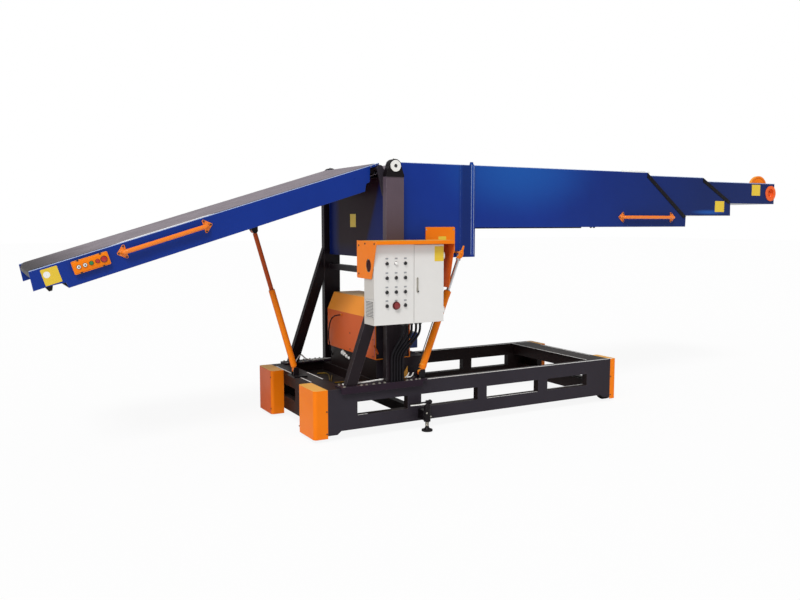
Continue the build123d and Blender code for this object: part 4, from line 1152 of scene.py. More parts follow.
@dataclass
class Cabinet(Assembly):
    """The control cabinet's operators, vent, door pull, seals, marks and hood fixings."""

    front: float = -0.185
    left: float = 0.389
    right: float = 0.968
    bottom: float = 0.853
    top: float = 1.427
    split: float = 0.714
    columns: tuple[float, ...] = (0.492, 0.567, 0.642)
    rows: tuple[float, ...] = (1.293, 1.190, 1.088, 0.990)
    hoses: tuple[float, ...] = (0.668, 0.706, 0.744, 0.782, 0.816)
    bezel_radius: float = 0.0145
    mark_rise: float = 0.036
    vent_size: Point = (0.130, 0.132)
    louvres: int = 11

    def draw(self) -> None:
        """Draw every piece of the cabinet."""
        self._operators()
        self._vent()
        self._door_pull()
        self._seals()
        self._hood()
        self._glands()

    def _operators(self) -> None:
        """Set the lamp, the selectors and the stop button in their grid."""
        r = self.bezel_radius
        marks = self.form("cabinet_marks", Finish.GREY)
        rims = self.form("cabinet_bezels", Finish.STEEL)
        heads = Form("cabinet_selectors", Finish.INK, slot="button_black")
        for row, z in enumerate(self.rows):
            for column, x in enumerate(self.columns):
                seat = self.machine.bench(Face.NEAR, x, self.front, z)
                marks.slab(seat.moved(0.0, self.mark_rise), rounded(0.022, 0.011, 0.002), 0.0, 0.0008)
                if (row, column) == (0, 1):
                    rims.turned(seat, [(r, 0.0), (r, 0.003), (r * 0.8, 0.005), (r * 0.8, 0.0)])
                    self.form("cabinet_lamp", Finish.WHITE).turned(seat, [
                        (0.0, 0.0), (r * 0.78, 0.0), (r * 0.78, 0.010), (r * 0.66, 0.0135),
                        (r * 0.4, 0.0152), (0.0, 0.016),
                    ])
                elif (row, column) == (3, 1):
                    self.form("cabinet_stop_ring", Finish.DARK_RED).turned(
                        seat, [(0.030, 0.0), (0.030, 0.004), (0.027, 0.006), (0.0, 0.006), (0.0, 0.0)], 36
                    )
                    self.form("cabinet_stop", Finish.DEEP_RED).turned(seat, [
                        (0.0, 0.006), (0.0125, 0.006), (0.0125, 0.013), (0.0225, 0.015), (0.024, 0.018),
                        (0.0235, 0.022), (0.018, 0.025), (0.0, 0.0258),
                    ], 32)
                else:
                    self._selector(seat, heads, rims, turn=0.35 if (row + column) % 2 else -0.3)
        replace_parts(heads.piece(), "cabinet_buttons")

    def _selector(self, seat: Bench, heads: Form, rims: Form, turn: float) -> None:
        """Add a selector: a bezel, a knurled skirt and a handle bar.

        Args:
            seat: The axes at its middle.
            heads: The form that gets the black parts.
            rims: The form that gets the metal bezel.
            turn: The handle's angle in radians.
        """
        r = self.bezel_radius
        rims.turned(seat, [(r, 0.0), (r, 0.0025), (r * 0.86, 0.004), (r * 0.86, 0.0)])
        heads.turned(seat, [(0.0, 0.0), (r * 0.85, 0.0), (r * 0.85, 0.008), (r * 0.74, 0.010), (0.0, 0.010)])
        right = seat.right * math.cos(turn) + seat.up * math.sin(turn)
        up = seat.up * math.cos(turn) - seat.right * math.sin(turn)
        bar = Bench(seat.at(0.0, 0.0, 0.010), right, up)
        heads.slab(bar, rounded(r * 0.5, r * 1.5, r * 0.2), -0.001, 0.006, 0.001)

    def _vent(self) -> None:
        """Fit the louvred vent on the left side."""
        vent = self.machine.bench(Face.LEFT, self.left, -0.123, 0.971)
        width, height = self.vent_size
        self.form("vent_frame", Finish.BLACK).slab(vent, rounded(width, height, 0.006), 0.0, 0.003, 0.001)
        rim = self.form("vent_rim", Finish.CABINET, slot="cabinet_paint")
        for way in (1, -1):
            rim.slab(vent.moved(0.0, way * 0.062), rounded(width, 0.008, 0.002), 0.0, 0.0050, 0.001)
        for way in (1, -1):
            rim.slab(vent.moved(way * 0.062, 0.0), rounded(0.008, height, 0.002), 0.0, 0.0050, 0.001)
        slats = self.form("vent_louvres", Finish.CABINET, slot="cabinet_paint")
        for i in range(self.louvres):
            slat = Bench(vent.at(-0.056, -0.052 + i * 0.0104, 0.003), vent.out, vent.up)
            slats.slab(slat, [(0.0, 0.0), (0.0, 0.006), (0.0048, 0.0)], 0.0, -0.112)

    def _door_pull(self) -> None:
        """Fit the slim pull near the door's free edge, and its lock."""
        seat = self.machine.bench(Face.NEAR, 0.744, self.front, 1.131)
        pull = self.form("door_pull", Finish.ZINC, Body.DOOR)
        pull.slab(seat, rounded(0.014, 0.112, 0.006), 0.0, 0.003, 0.001)
        pull.slab(seat, rounded(0.007, 0.096, 0.003), 0.003, 0.008, 0.002)
        self.form("door_lock", Finish.INK, Body.DOOR).turned(
            seat.moved(0.004, -0.046),
            [(0.0, 0.003), (0.006, 0.003), (0.006, 0.008), (0.004, 0.009), (0.0, 0.009)], 20,
        )

    def _seals(self) -> None:
        """Fit the dark rubber seal round the door opening."""
        seat = self.machine.bench(Face.NEAR, 0.0, -0.1662, 0.0)
        form = self.form("door_seal", Finish.RUBBER)
        left, right = self.split + 0.003, self.right - 0.005
        low, high, wide = self.bottom + 0.006, self.top - 0.010, 0.008
        for low_x, high_x, low_z, high_z in (
            (left, left + wide, low, high), (right - wide, right, low, high),
            (left + wide, right - wide, low, low + wide), (left + wide, right - wide, high - wide, high),
        ):
            outline = [(low_x, low_z), (high_x, low_z), (high_x, high_z), (low_x, high_z)]
            form.slab(seat, outline, -0.0046, 0.0)

    def _hood(self) -> None:
        """Fit the hood's screws and the dark cup behind its oval hole."""
        places = (
            (Face.LEFT, 0.3815, 0.042, 1.420), (Face.LEFT, 0.3815, 0.042, 1.215),
            (Face.LEFT, 0.3815, -0.205, 1.434), (Face.LEFT, 0.3815, -0.060, 1.434),
            (Face.RIGHT, 1.033, -0.030, 1.410), (Face.RIGHT, 1.033, -0.030, 1.160),
            (Face.TOP, 0.520, -0.020, 1.455), (Face.TOP, 0.800, -0.020, 1.455),
        )
        self.screws("hood_screws", Finish.INK, 0.007, (self.machine.bench(*place) for place in places))
        hole = self.machine.bench(Face.LEFT, self.left, -0.111, 1.278)
        oval = [(0.036 * math.cos(a), 0.044 * math.sin(a)) for a in around(32)]
        self.form("hood_port", Finish.PORT).slab(hole, oval, 0.0, 0.0030, 0.0008)

    def _glands(self) -> None:
        """Fit a gland under the cabinet for each hose."""
        form = self.form("cabinet_glands", Finish.INK)
        for x in self.hoses:
            seat = self.machine.bench(Face.UNDER, x, -0.100, self.bottom)
            form.turned(seat, [(0.0092, 0.0), (0.0155, 0.0), (0.0155, 0.008), (0.0092, 0.008)], 6)
            form.turned(seat, [(0.0092, 0.008), (0.0140, 0.008), (0.0125, 0.020), (0.0092, 0.024)], 20)


@dataclass
class TailPanel(Assembly):
    """The orange control box on the tail: its lid, buttons, collars and fixing tabs."""

    start: float = -2.222
    length: float = 0.225
    middle: float = -0.027
    front: float = 0.106
    lid: float = 0.0022
    buttons: tuple[tuple[str, Finish, float], ...] = (
        ("first_white", Finish.WHITE, 0.035), ("second_white", Finish.WHITE, 0.074),
        ("green", Finish.GREEN, 0.113), ("first_red", Finish.RED, 0.152), ("stop", Finish.RED, 0.192),
    )

    def draw(self) -> None:
        """Draw the box's pieces."""
        lid = self.form("tail_box_lid", Finish.ORANGE, Body.TAIL, "orange_paint")
        lid.slab(self._seat(self.length / 2), rounded(0.213, 0.070, 0.006), 0.0, self.lid, 0.001)
        collars = self.form("tail_button_collars", Finish.INK, Body.TAIL)
        for name, finish, place in self.buttons:
            seat = self._seat(place).moved(0.0, 0.0, self.lid)
            r = 0.0175 if name == "stop" else 0.0115
            button = Form(f"tail_button_{name}", finish, Body.TAIL).turned(seat, [
                (0.0, 0.0), (r * 0.9, 0.0), (r * 0.9, 0.003), (r, 0.004), (r, 0.0062), (r * 0.85, 0.0076),
                (0.0, 0.0078),
            ], 28).piece()
            if name == "stop":
                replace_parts(button, "tail_buttons")
            if finish is Finish.WHITE:
                dot = self.form(f"tail_button_dot_{name}", Finish.INK, Body.TAIL)
                dot.turned(seat.moved(0.0, 0.0, 0.0078), disc(0.005, 0.0005), 20)
            inner, outer = r * 1.02, r * 1.22
            collars.turned(seat, [(inner, 0.0), (outer, 0.0), (outer, 0.0016), (inner, 0.0022)], 28)
        tabs = self.form("tail_box_tabs", Finish.INK, Body.TAIL)
        for u in (0.040, 0.180):
            for rise in (-0.0405, 0.0405):
                tabs.slab(self._seat(u, rise), rounded(0.012, 0.012, 0.003), -0.012, 0.0035, 0.001)

    def _seat(self, u: float, rise: float = 0.0) -> Bench:
        """Axes on the box's front, u from its start and a rise above its middle."""
        return self.machine.tail_beside(Side.NEAR, self.start + u, self.front, self.middle + rise)


@dataclass
class GrabBolts(Assembly):
    """Black bolts that hold each grab handle's plates, and the flare where tube meets plate."""

    spots: tuple[Point, ...] = ((-0.013, 0.036), (-0.013, -0.036), (0.0265, 0.0))
    flare: tuple[Point, ...] = (
        (0.0145, 0.0), (0.0205, 0.0), (0.0175, 0.0025), (0.0160, 0.006), (0.0152, 0.011), (0.0145, 0.012),
    )

    def draw(self) -> None:
        """Bolt down the handles of the boom and of the tail."""
        rows = (
            ("boom", Body.BOOM, self.machine.beside, (2.990, 3.615), 0.070, 1.631),
            ("tail", Body.TAIL, self.machine.tail_beside, (-1.905, -1.335), 0.125, -0.024),
        )
        for name, body, seat, ends, wall, height in rows:
            flares = self.form(f"{name}_handle_flares", Finish.HANDLE_ORANGE, body, "orange_paint")
            seats = []
            for side in Side:
                for end, outward in zip(ends, (-1, 1)):
                    for along, up in self.spots:
                        seats.append(seat(side, end + outward * along, wall, height + up))
                    flares.turned(seat(side, end, wall, height), self.flare)
            self.bolts(f"{name}_handle_bolts", Finish.INK, 0.0065, seats, body, False)


@dataclass
class Cylinders(Assembly):
    """Glands, bands, oil lines and clevis heads on the two lift cylinders."""

    foot: Point = (0.897, 0.437)
    head: Point = (1.252, 1.345)
    line: float = 0.0275
    barrel: float = 0.660
    bodies: tuple[tuple[Side, Body, Body], ...] = (
        (Side.NEAR, Body.LIFT_BARREL_NEAR, Body.LIFT_ROD_NEAR),
        (Side.FAR, Body.LIFT_BARREL_FAR, Body.LIFT_ROD_FAR),
    )

    def draw(self) -> None:
        """Dress both cylinders."""
        run = Vector((self.head[0] - self.foot[0], 0.0, self.head[1] - self.foot[1]))
        whole = run.length
        run.normalize()
        across = Vector((0.0, 1.0, 0.0))
        for side, barrel_body, rod_body in self.bodies:
            foot = self.machine.at(self.foot[0], self.machine.depth(side, self.line), self.foot[1])
            axis = Bench(foot, across, run.cross(across))
            end = axis.moved(0.0, 0.0, self.barrel)
            self.form(f"lift_gland_{side.value}", Finish.INK, barrel_body).turned(end, [
                (0.0146, 0.004), (0.0200, 0.004), (0.0200, 0.008), (0.0170, 0.011), (0.0146, 0.011),
            ], 28)
            bands = self.form(f"lift_bands_{side.value}", Finish.ORANGE, barrel_body, "orange_paint")
            bands.turned(end, [
                (0.0146, 0.000), (0.0146, 0.005), (0.0270, 0.005), (0.0286, 0.003), (0.0286, -0.036),
                (0.0270, -0.038), (0.0265, -0.038), (0.0265, 0.000),
            ], 32)
            bands.turned(axis.moved(0.0, 0.0, 0.055), [
                (0.0265, -0.012), (0.0282, -0.012), (0.0290, -0.010), (0.0290, 0.010), (0.0282, 0.012),
                (0.0265, 0.012),
            ], 32)
            inward = side.choose(0.4, -0.4)
            climb = (
                (0.024, 0.0255, 0.070), (0.030, 0.0335, 0.078), (0.030, 0.0335, 0.560),
                (0.024, 0.0255, 0.572),
            )
            self.form(f"lift_oil_line_{side.value}", Finish.INK, barrel_body).tube(
                [axis.at(inward * x, y, z) for x, y, z in climb], 0.0036
            )
            self._clevis(axis.moved(0.0, 0.0, whole), side, rod_body)

    def _clevis(self, neck: Bench, side: Side, body: Body) -> None:
        """Fit the orange clevis head and its nut on a rod.

        Args:
            neck: The axes at the head's pin, out along the rod.
            side: The machine's side.
            body: The rod's body.
        """
        form = self.form(f"lift_clevis_{side.value}", Finish.ORANGE, body, "orange_paint")
        form.turned(neck, [
            (0.0, -0.046), (0.0150, -0.046), (0.0175, -0.042), (0.0175, -0.032), (0.0150, -0.026),
            (0.0, -0.024),
        ], 28)
        outward = side.choose(-1.0, 1.0)
        flat = Bench(neck.at(outward * 0.0138, 0.0, 0.0), neck.up * outward, neck.out)
        cheek = [(0.0060 * math.cos(a), 0.0060 * math.sin(a) + 0.058) for a in around(16)[:9]]
        flank = [(0.0085, 0.030), (0.0195, 0.004), (0.0205, -0.012), (0.0160, -0.034)]
        cheek += [(-x, y) for x, y in flank] + flank[::-1]
        form.slab(flat, cheek, 0.0, 0.0060, 0.0015)
        form.bolt(flat.moved(0.0, 0.0, 0.0060), 0.0085, False)
        self.form(f"lift_lock_nut_{side.value}", Finish.ZINC, body).turned(
            neck, [(0.0144, -0.056), (0.0190, -0.056), (0.0190, -0.046), (0.0144, -0.046)], 6
        )


@dataclass
class BoomTrim(Assembly):
    """Seals along the slanted ends, the white guide, fixings, rib beads and belt lacing of the boom."""

    boom_slant: tuple[Point, Point] = ((3.291, 2.030), (3.801, 1.642))
    middle_slant: tuple[Point, Point] = ((4.041, 2.005), (4.436, 1.787))
    seal: float = 0.0045
    lacing_half: float = 0.50
    lacing_pitch: float = 0.020

    def draw(self) -> None:
        """Fit the boom's trim."""
        machine = self.machine
        self._seal("boom_end", Body.BOOM, self.boom_slant, 0.075, 0.036)
        self._seal("section_2_end", Body.MIDDLE, self.middle_slant, 0.095, 0.034)
        self.form("boom_top_guide", Finish.WHITE, Body.BOOM).slab(
            machine.bench(Face.NEAR, 3.122, 0.081, 2.036), rounded(0.288, 0.014, 0.003), 0.0, 0.006, 0.001
        )
        self.form("boom_top_roller", Finish.WHITE, Body.BOOM).turned(
            machine.bench(Face.NEAR, 3.304, 0.081, 2.030),
            [(0.0, 0.0), (0.011, 0.0), (0.012, 0.001), (0.012, 0.009), (0.011, 0.010), (0.0, 0.010)],
        )
        lip = self.form("boom_under_lip", Finish.RUBBER, Body.BOOM)
        # The rib's beads are painted pale as highlights.
        ribs = self.form("boom_rib_beads", Finish.EDGE_BLUE, Body.BOOM, "blue_paint")
        bolts, screws = [], []
        for side in Side:
            lip.slab(machine.beside(side, 1.980, 0.082, 1.5405), rounded(1.100, 0.009, 0.002), -0.018, 0.0)
            y = machine.depth(side, 0.060)
            for x in (1.375, 1.397):
                ribs.rod(machine.at(x, y, 2.040), machine.at(x, y, 1.330), 10, 0.0017, 7)
            y = machine.depth(side, 0.100)
            bolts += [machine.bench(Face.UNDER, x, y, 1.545) for x in (2.655, 2.690)]
            screws += [machine.beside(side, x, 0.067, z) for x in (1.216, 0.967) for z in (1.530, 1.365)]
        self.bolts("boom_under_bolts", Finish.INK, 0.009, bolts, Body.BOOM)
        self.screws("side_plate_screws", Finish.ZINC, 0.006, screws, Body.BOOM)
        belt = machine.bench(Face.TOP, 2.350, 0.6, 2.0183)
        clips = self.form("boom_belt_lacing", Finish.ZINC, Body.BOOM)
        for i in range(int(2 * self.lacing_half / self.lacing_pitch)):
            seat = belt.moved(0.0, self.lacing_pitch * (i + 0.5) - self.lacing_half)
            clips.slab(seat, rounded(0.034, 0.012, 0.004, 3), 0.0, 0.0012, 0.0004)

    def _seal(self, name: str, body: Body, slant: tuple[Point, Point], wall: float, width: float) -> None:
        """Fit a rubber seal along a slanted end on both sides, with its clamp screws.

        Args:
            name: What the pieces' names begin with.
            body: The body it rides on.
            slant: The slant's upper and lower ends.
            wall: The side plate's outer face, from the near side.
            width: The seal's width.
        """
        start = Vector(slant[0])
        run = Vector(slant[1]) - start
        length = run.length
        run.normalize()
        inward = Vector((run.y, -run.x))
        corners = [
            start, start + run * length, start + run * (length - width * 0.4) + inward * width,
            start + run * width * 0.6 + inward * width,
        ]
        count = int(length / 0.085)
        strip = self.form(f"{name}_seals", Finish.RUBBER, body, "black_rubber")
        screws = []
        for side in Side:
            seat = self.machine.beside(side, 0.0, wall, 0.0)
            flip = side.choose(1, -1)
            outline = [(flip * c.x, c.y) for c in corners]
            strip.slab(seat, outline[::flip], 0.0, self.seal, 0.0012)
            for i in range(count):
                spot = start + run * (length * (i + 0.6) / count) + inward * width * 0.5
                screws.append(seat.moved(flip * spot.x, spot.y, self.seal))
        self.screws(f"{name}_screws", Finish.INK, 0.0036, screws, body)


@dataclass
class Bearings(Assembly):
    """Fixings, grease nipples and caps on the main pivot's bearing blocks."""

    x: float = 0.660
    inset: float = 0.025

    def draw(self) -> None:
        """Dress both bearing blocks."""
        nipples = self.form("bearing_nipples", Finish.ZINC)
        tip = [(0.0, 0.0), (0.005, 0.0), (0.005, 0.003), (0.003, 0.004), (0.0032, 0.0062), (0.0, 0.0066)]
        caps = self.form("bearing_caps", Finish.INK)
        bolts = []
        for side in Side:
            y = self.machine.depth(side, self.inset)
            bolts += [self.machine.bench(Face.TOP, self.x + x, y, 1.934) for x in (-0.056, 0.056)]
            nipples.turned(self.machine.bench(Face.TOP, self.x, y, 2.0478), tip, 6)
            caps.turned(
                self.machine.beside(side, self.x, -0.012, 1.998),
                [(0.0, -0.010), (0.0136, -0.010), (0.0136, -0.002), (0.0118, 0.0), (0.0, 0.0)], 28,
            )
        self.bolts("bearing_bolts", Finish.ZINC, 0.008, bolts)


@dataclass
class BaseTrim(Assembly):
    """Screws, bolts, weld beads, pipes, painted edge highlights and the power unit's fittings on the base."""

    frame_top: float = 0.383
    frame_foot: float = 0.173
    bed_top: float = 0.395
    motor: Point = (0.580, 0.6125)
    unit_wall: float = 0.550

    def draw(self) -> None:
        """Dress the base."""
        machine = self.machine
        screws = [
            machine.beside(side, x, 0.0, z) for side in Side for x in (0.099, 2.837) for z in (0.060, 0.225)
        ]
        for side in Side:
            y = machine.depth(side, 0.290)
            screws += [machine.bench(Face.LEFT, 0.0, y, z) for z in (0.070, 0.330)]
        self.screws("cover_screws", Finish.INK, 0.0058, screws)
        along = (0.232, 0.370, 0.412, 0.470, 0.520, 0.562, 0.752, 0.790, 0.832, 0.862)
        self.bolts("bed_bolts", Finish.ZINC, 0.0085, (
            machine.bench(Face.TOP, x, machine.depth(side, inset), self.bed_top)
            for side in Side for x in along for inset in (-0.016, 0.076)
        ))
        self._welds()
        self._motor()
        self._unit()
        self._edge_highlights()
        self._pipes()

    def _edge_highlights(self) -> None:
        """Paint bright highlights along the frame's top edges."""
        top, foot = self.frame_top, self.frame_foot
        rows = (
            (0.940, 2.862, 0.002, 0.022, top), (1.300, 2.862, 1.142, 1.158, top),
            (0.109, 0.121, 0.330, 0.540, top), (0.109, 0.121, 0.660, 1.090, top),
            (0.235, 0.245, 0.400, 0.714, top), (2.602, 2.612, 0.062, 1.138, top),
            (0.800, 0.810, 0.520, 0.924, top), (2.800, 2.812, 0.240, 0.940, top),
            (1.502, 2.020, 0.002, 0.012, foot), (0.346, 0.430, 0.002, 0.012, foot),
            (2.130, 2.556, 0.048, 0.058, foot),
        )
        form = self.form("painted_edge_highlights", Finish.BRIGHT)
        for low_x, high_x, low_y, high_y, z in rows:
            seat = self.machine.bench(Face.TOP, (low_x + high_x) / 2, (low_y + high_y) / 2, z)
            form.slab(seat, rounded(high_x - low_x, high_y - low_y, 0.001, 2), -0.0004, 0.0008)

    def _pipes(self) -> None:
        """Run the hydraulic pipes over the beds and the tray."""
        steel = self.form("bed_pipes", Finish.BRIGHT)
        brass = self.form("tray_pipes", Finish.BRASS)
        over, tray = 0.402, 0.3155
        for offset, reach in ((0.046, 0.812), (0.060, 0.780)):
            steel.tube(self._eased((
                (0.250, offset, over), (0.470, offset, over), (0.520, offset + 0.020, over),
                (0.560, offset + 0.028, over), (0.760, offset + 0.028, over), (reach, offset, 0.404),
                (reach + 0.022, offset - 0.004, 0.418), (reach + 0.026, offset - 0.008, 0.440),
            )), 0.0052)
        steel.tube(self._eased((
            (0.300, 1.120, over), (0.338, 1.140, 0.440), (0.366, 1.160, 0.456), (0.402, 1.165, 0.418),
            (0.430, 1.160, over), (0.500, 1.135, over), (0.570, 1.150, over), (0.840, 1.150, over),
        )), 0.0058)
        for run in (
            ((0.427, 0.952, tray), (0.523, 0.935, tray), (0.412, 0.654, tray), (0.404, 0.640, tray)),
            ((0.499, 0.808, tray), (0.452, 0.708, tray), (0.407, 0.611, tray)),
            ((0.400, 0.532, tray), (0.440, 0.528, tray), (0.552, 0.517, tray)),
        ):
            brass.tube(self._eased(run), 0.0056)
        fittings = self.form("unit_fittings", Finish.BRIGHT)
        for y, z, radius in (
            (0.735, 0.516, 0.017), (0.700, 0.508, 0.015), (0.664, 0.494, 0.012), (0.622, 0.486, 0.010),
        ):
            fittings.bolt(self.machine.bench(Face.LEFT, 0.570, y, z), radius)
        gussets = self.form("foot_gussets", Finish.GUSSET)
        for side in Side:
            seat = self.machine.bench(Face.NEAR, 0.0, self.machine.depth(side, 0.062), 0.0)
            gussets.slab(seat, [(0.735, 0.395), (0.800, 0.395), (0.800, 0.490)], -0.003, 0.003)

    def _eased(self, places: Sequence[tuple[float, float, float]]) -> list[Vector]:
        """Round the corners of a pipe's run.

        Args:
            places: The run's corners on the machine.

        Returns:
            The rounded run.
        """
        run = [self.machine.at(*place) for place in places]
        for _ in range(3):
            cut = [run[0]]
            for start, end in zip(run, run[1:]):
                cut += [start.lerp(end, 0.25), start.lerp(end, 0.75)]
            run = cut + [run[-1]]
        return run

    def _welds(self) -> None:
        """Lay weld beads where the cross members meet the side frames."""
        form = self.form("frame_welds", Finish.CHARCOAL, slot="frame_paint")
        rng = random.Random(11)
        for start, foot in ((0.560, 0.303), (0.800, 0.303), (0.860, 0.070)):
            for x in (start, start + 0.060):
                for side in Side:
                    y, way = self.machine.depth(side, 0.060), side.choose(1, -1)
                    points = []
                    for i in range(24):
                        wave = 0.0008 * math.sin(i * 1.9) + rng.uniform(-0.0003, 0.0003)
                        place = (x + wave, y + way * (0.0012 + wave), foot + 0.080 * i / 23)
                        points.append(self.machine.at(*place))
                    form.tube(points, 0.0032, 7)

    def _motor(self) -> None:
        """Give the drive motor its fins, end bell and terminal box."""
        bench = self.machine.bench
        y, z = self.motor
        fins = self.form("motor_fins", Finish.MOTOR_BLUE, slot="blue_paint")
        for i in range(9):
            for wall, face in ((y - 0.100, Face.NEAR), (y + 0.100, Face.FAR)):
                seat = bench(face, 0.975, wall, 0.566 + i * 0.0105)
                fins.slab(seat, rounded(0.215, 0.0036, 0.0014, 2), -0.001, 0.007)
        self.form("motor_box", Finish.MOTOR_BLUE, slot="blue_paint").slab(
            bench(Face.TOP, 0.960, y, 0.676), rounded(0.090, 0.080, 0.010), 0.0, 0.034, 0.004
        )
        self.form("motor_end_bell", Finish.INK).turned(bench(Face.RIGHT, 1.137, y, z), [
            (0.0, 0.0), (0.058, 0.0), (0.058, 0.003), (0.050, 0.010), (0.030, 0.014), (0.0, 0.015),
        ], 36)

    def _unit(self) -> None:
        """Screw down the power unit's cover and fit its red edge strip and its strap."""
        machine, wall = self.machine, self.unit_wall
        self.screws("unit_screws", Finish.INK, 0.0055, (
            machine.bench(Face.LEFT, wall, y, z) for y in (0.150, 0.560, 0.960) for z in (0.570, 0.700)
        ))
        low, high, count = 0.570, 0.860, 20
        rise = (high - low) / count
        outline = []
        for i in range(count):
            outline += [(0.0, low + rise * i), (0.0060, low + rise * (i + 0.5))]
        outline += [(0.0, high), (-0.008, high), (-0.008, low)]
        strip = machine.bench(Face.LEFT, wall, 0.1165, 0.0)
        self.form("unit_red_strip", Finish.RED).slab(strip, outline, 0.0, 0.0025)
        strap = [machine.at(0.546, 0.126 - 0.016 * i, 0.655 - 0.0085 * i - 0.0011 * i * i) for i in range(5)]
        self.form("unit_strap", Finish.SHADED_ORANGE).tube(strap, 0.0075)


@dataclass
class JackTrim(Assembly):
    """The levelling jack's thread, collar, bolts and lever."""

    x: float = 0.888
    y: float = -0.088

    def draw(self) -> None:
        """Dress the jack."""
        machine = self.machine
        seat = machine.bench(Face.TOP, self.x, self.y, 0.0)
        profile = [(0.0125, 0.045)]
        for i in range(9):
            z = 0.045 + i * 0.0038
            profile += [(0.0134, z + 0.0008), (0.0148, z + 0.0019), (0.0134, z + 0.0030)]
        profile.append((0.0125, 0.0795))
        self.form("jack_thread", Finish.ZINC).turned(seat, profile)
        self.form("jack_collar", Finish.BLACK, slot="frame_paint").turned(seat, [
            (0.0135, 0.204), (0.0240, 0.204), (0.0240, 0.208), (0.0190, 0.214), (0.0135, 0.214),
        ], 28)
        self.bolts("jack_bolts", Finish.ZINC, 0.005, (
            machine.bench(Face.NEAR, self.x + x, -0.114, z) for x, z in ((-0.018, 0.150), (0.018, 0.120))
        ))
        bar = [machine.at(x, self.y, 0.217 - (x - 0.744) * 0.03) for x in (0.744, 0.790, 0.850, 0.912)]
        self.form("jack_lever", Finish.BRIGHT).tube(bar, 0.0052, 10)


@dataclass
class TailTrim(Assembly):
    """The tail's fixings, and the pale skirt that shows along its belt."""

    def draw(self) -> None:
        """Dress the tail."""
        self.screws("tail_screws", Finish.ZINC, 0.0042, (
            self.machine.tail_beside(side, u, 0.130, 0.026) for side in Side for u in (-0.030, 0.010, 0.030)
        ), Body.TAIL)
        seat = self.machine.tail_beside(Side.NEAR, 0.0, 0.1335, 0.0)
        self.form("tail_belt_skirt", Finish.BRIGHT, Body.TAIL).slab(
            seat, [(-2.060, 0.0335), (-1.180, 0.0335), (-1.320, 0.0425), (-1.860, 0.0425)], -0.0015, 0.0
        )


@dataclass
class EdgeBeads(Assembly):
    """Rolled upper edges of the tail and of the boom's three sections, in pale blue as a painted highlight.
    """

    rows: tuple[tuple[str, Body, float, float, tuple[Point, ...]], ...] = (
        ("boom_edge_beads", Body.BOOM, 0.078, 2.030, ((0.634, 1.368), (1.404, 3.288))),
        ("section_2_edge_beads", Body.MIDDLE, 0.0975, 2.005, ((1.484, 2.760), (2.760, 4.036))),
        ("section_3_edge_beads", Body.TIP, 0.116, 1.972, ((1.564, 3.338), (3.338, 5.112))),
    )

    def draw(self) -> None:
        """Roll the edges on both sides."""
        machine = self.machine
        for name, body, inset, z, spans in self.rows:
            form = self.form(name, Finish.EDGE_BLUE, body, "blue_paint")
            for side in Side:
                y = machine.depth(side, inset)
                for start, end in spans:
                    form.rod(machine.at(start, y, z), machine.at(end, y, z), 8, 0.0032)
        tail = self.form("tail_edge_beads", Finish.EDGE_BLUE, Body.TAIL, "blue_paint")
        for side in Side:
            ends = (machine.tail_beside(side, u, 0.133, 0.034).origin for u in (-2.462, 0.038))
            tail.rod(*ends, 12, 0.0036)


@dataclass
class NoseCups(Assembly):
    """The dished caps inside the nose rings, in a redder orange as painted shade, with their bolts."""

    centre: Point = (5.054, 1.876)
    wall: float = 0.106
    radius: float = 0.0475
    depth: float = 0.034
    bolt_circle: float = 0.024

    def draw(self) -> None:
        """Fit a cup in each ring."""
        form = self.form("nose_cups", Finish.RING_ORANGE, Body.TIP)
        r, d, c = self.radius, self.depth, self.bolt_circle
        bolts = []
        for side in Side:
            seat = self.machine.beside(side, self.centre[0], self.wall, self.centre[1])
            form.turned(seat, [
                (0.0, -d), (r * 0.60, -d), (r * 0.90, -d + 0.004), (r * 0.985, -d + 0.012), (r, -0.002),
                (r * 0.96, -0.002), (r * 0.94, -d + 0.011), (r * 0.86, -d + 0.006), (r * 0.55, -d + 0.002),
                (0.0, -d + 0.002),
            ], 40)
            for a in around(8)[1::2]:
                bolts.append(seat.moved(c * math.cos(a), c * math.sin(a), -d + 0.002))
        self.bolts("nose_cup_bolts", Finish.INK, 0.0055, bolts, Body.TIP, False)


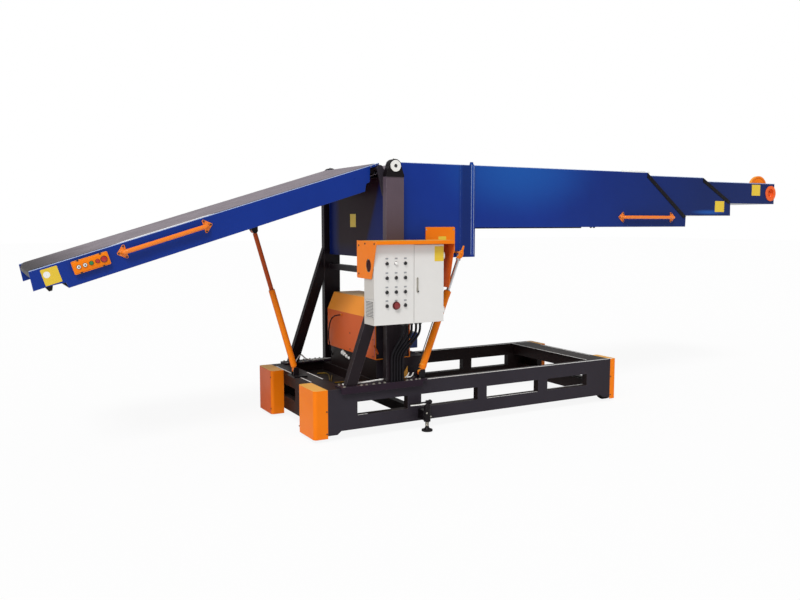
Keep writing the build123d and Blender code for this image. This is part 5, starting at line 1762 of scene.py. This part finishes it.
class Dresser:
    """Gives the CAD nodes their finishes."""

    table = {
        Finish.BLUE: ("boom_sides", "section_2_sides", "section_3_sides", "tail_sides"),
        Finish.MOTOR_BLUE: ("drive_motor",),
        Finish.ORANGE: (
            "wheel_covers", "power_unit_cover", "cabinet_hood", "boom_side_plates", "tail_control_box",
            "lift_barrel_near", "lift_barrel_far", "strut_barrel", "tip_discs",
        ),
        Finish.HANDLE_ORANGE: ("boom_handles", "tail_handles"),
        Finish.RING_ORANGE: ("nose_rings",),
        Finish.SHADED_ORANGE: ("strut_rod",),
        Finish.CHARCOAL: (
            "side_frames", "end_frames", "cross_members", "tail_pivot_plates", "power_unit_base",
            # floor_tray: a dark sheet that stands for the shade inside the base.
            "floor_tray",
        ),
        Finish.BROWN: ("boom_floor",),
        Finish.POST_GREY: ("post_frames",),
        Finish.BED_BLACK: ("side_beds",),
        Finish.BLACK: ("bearing_blocks", "foot_clevises", "levelling_jack", "tail_brackets"),
        Finish.CABINET: ("cabinet_body", "cabinet_door"),
        Finish.DECK: ("boom_bed", "section_2_decks", "section_3_decks", "tail_decks"),
        Finish.STEEL: (
            "boom_rollers", "section_2_rollers", "section_3_rollers", "section_3_drums", "tail_rollers",
            "boom_pins", "wheel_axles",
        ),
        Finish.CHROME: ("lift_rod_near", "lift_rod_far"),
        Finish.BELT: ("boom_belt", "section_2_belt", "section_3_belt", "tail_belt"),
        Finish.RUBBER: ("cabinet_hoses", "cover_cable"),
        Finish.TYRE: ("wheel_left_near", "wheel_left_far", "wheel_right_near", "wheel_right_far"),
        Finish.WHITE: ("bearing_rings",),
        Finish.INK: ("cabinet_buttons", "tail_buttons"),
    }

    def dress(self) -> None:
        """Put each finish on its nodes."""
        for finish, names in self.table.items():
            log.info("%s on %s", finish.name, ", ".join(names))
            for name in names:
                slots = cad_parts[name].data.materials
                slots.clear()
                slots.append(finish.material())


def main() -> None:
    """Dress the machine and set up the studio."""
    logging.basicConfig(level=logging.INFO, format="%(message)s")
    random.seed(7)
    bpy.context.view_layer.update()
    machine = Machine()
    Studio().build(machine)
    Dresser().dress()
    for kind in (
        Signs, Cabinet, TailPanel, GrabBolts, Cylinders, BoomTrim, Bearings, BaseTrim, JackTrim, TailTrim,
        EdgeBeads, NoseCups,
    ):
        kind(machine).build()


if __name__ == "__main__":
    main()
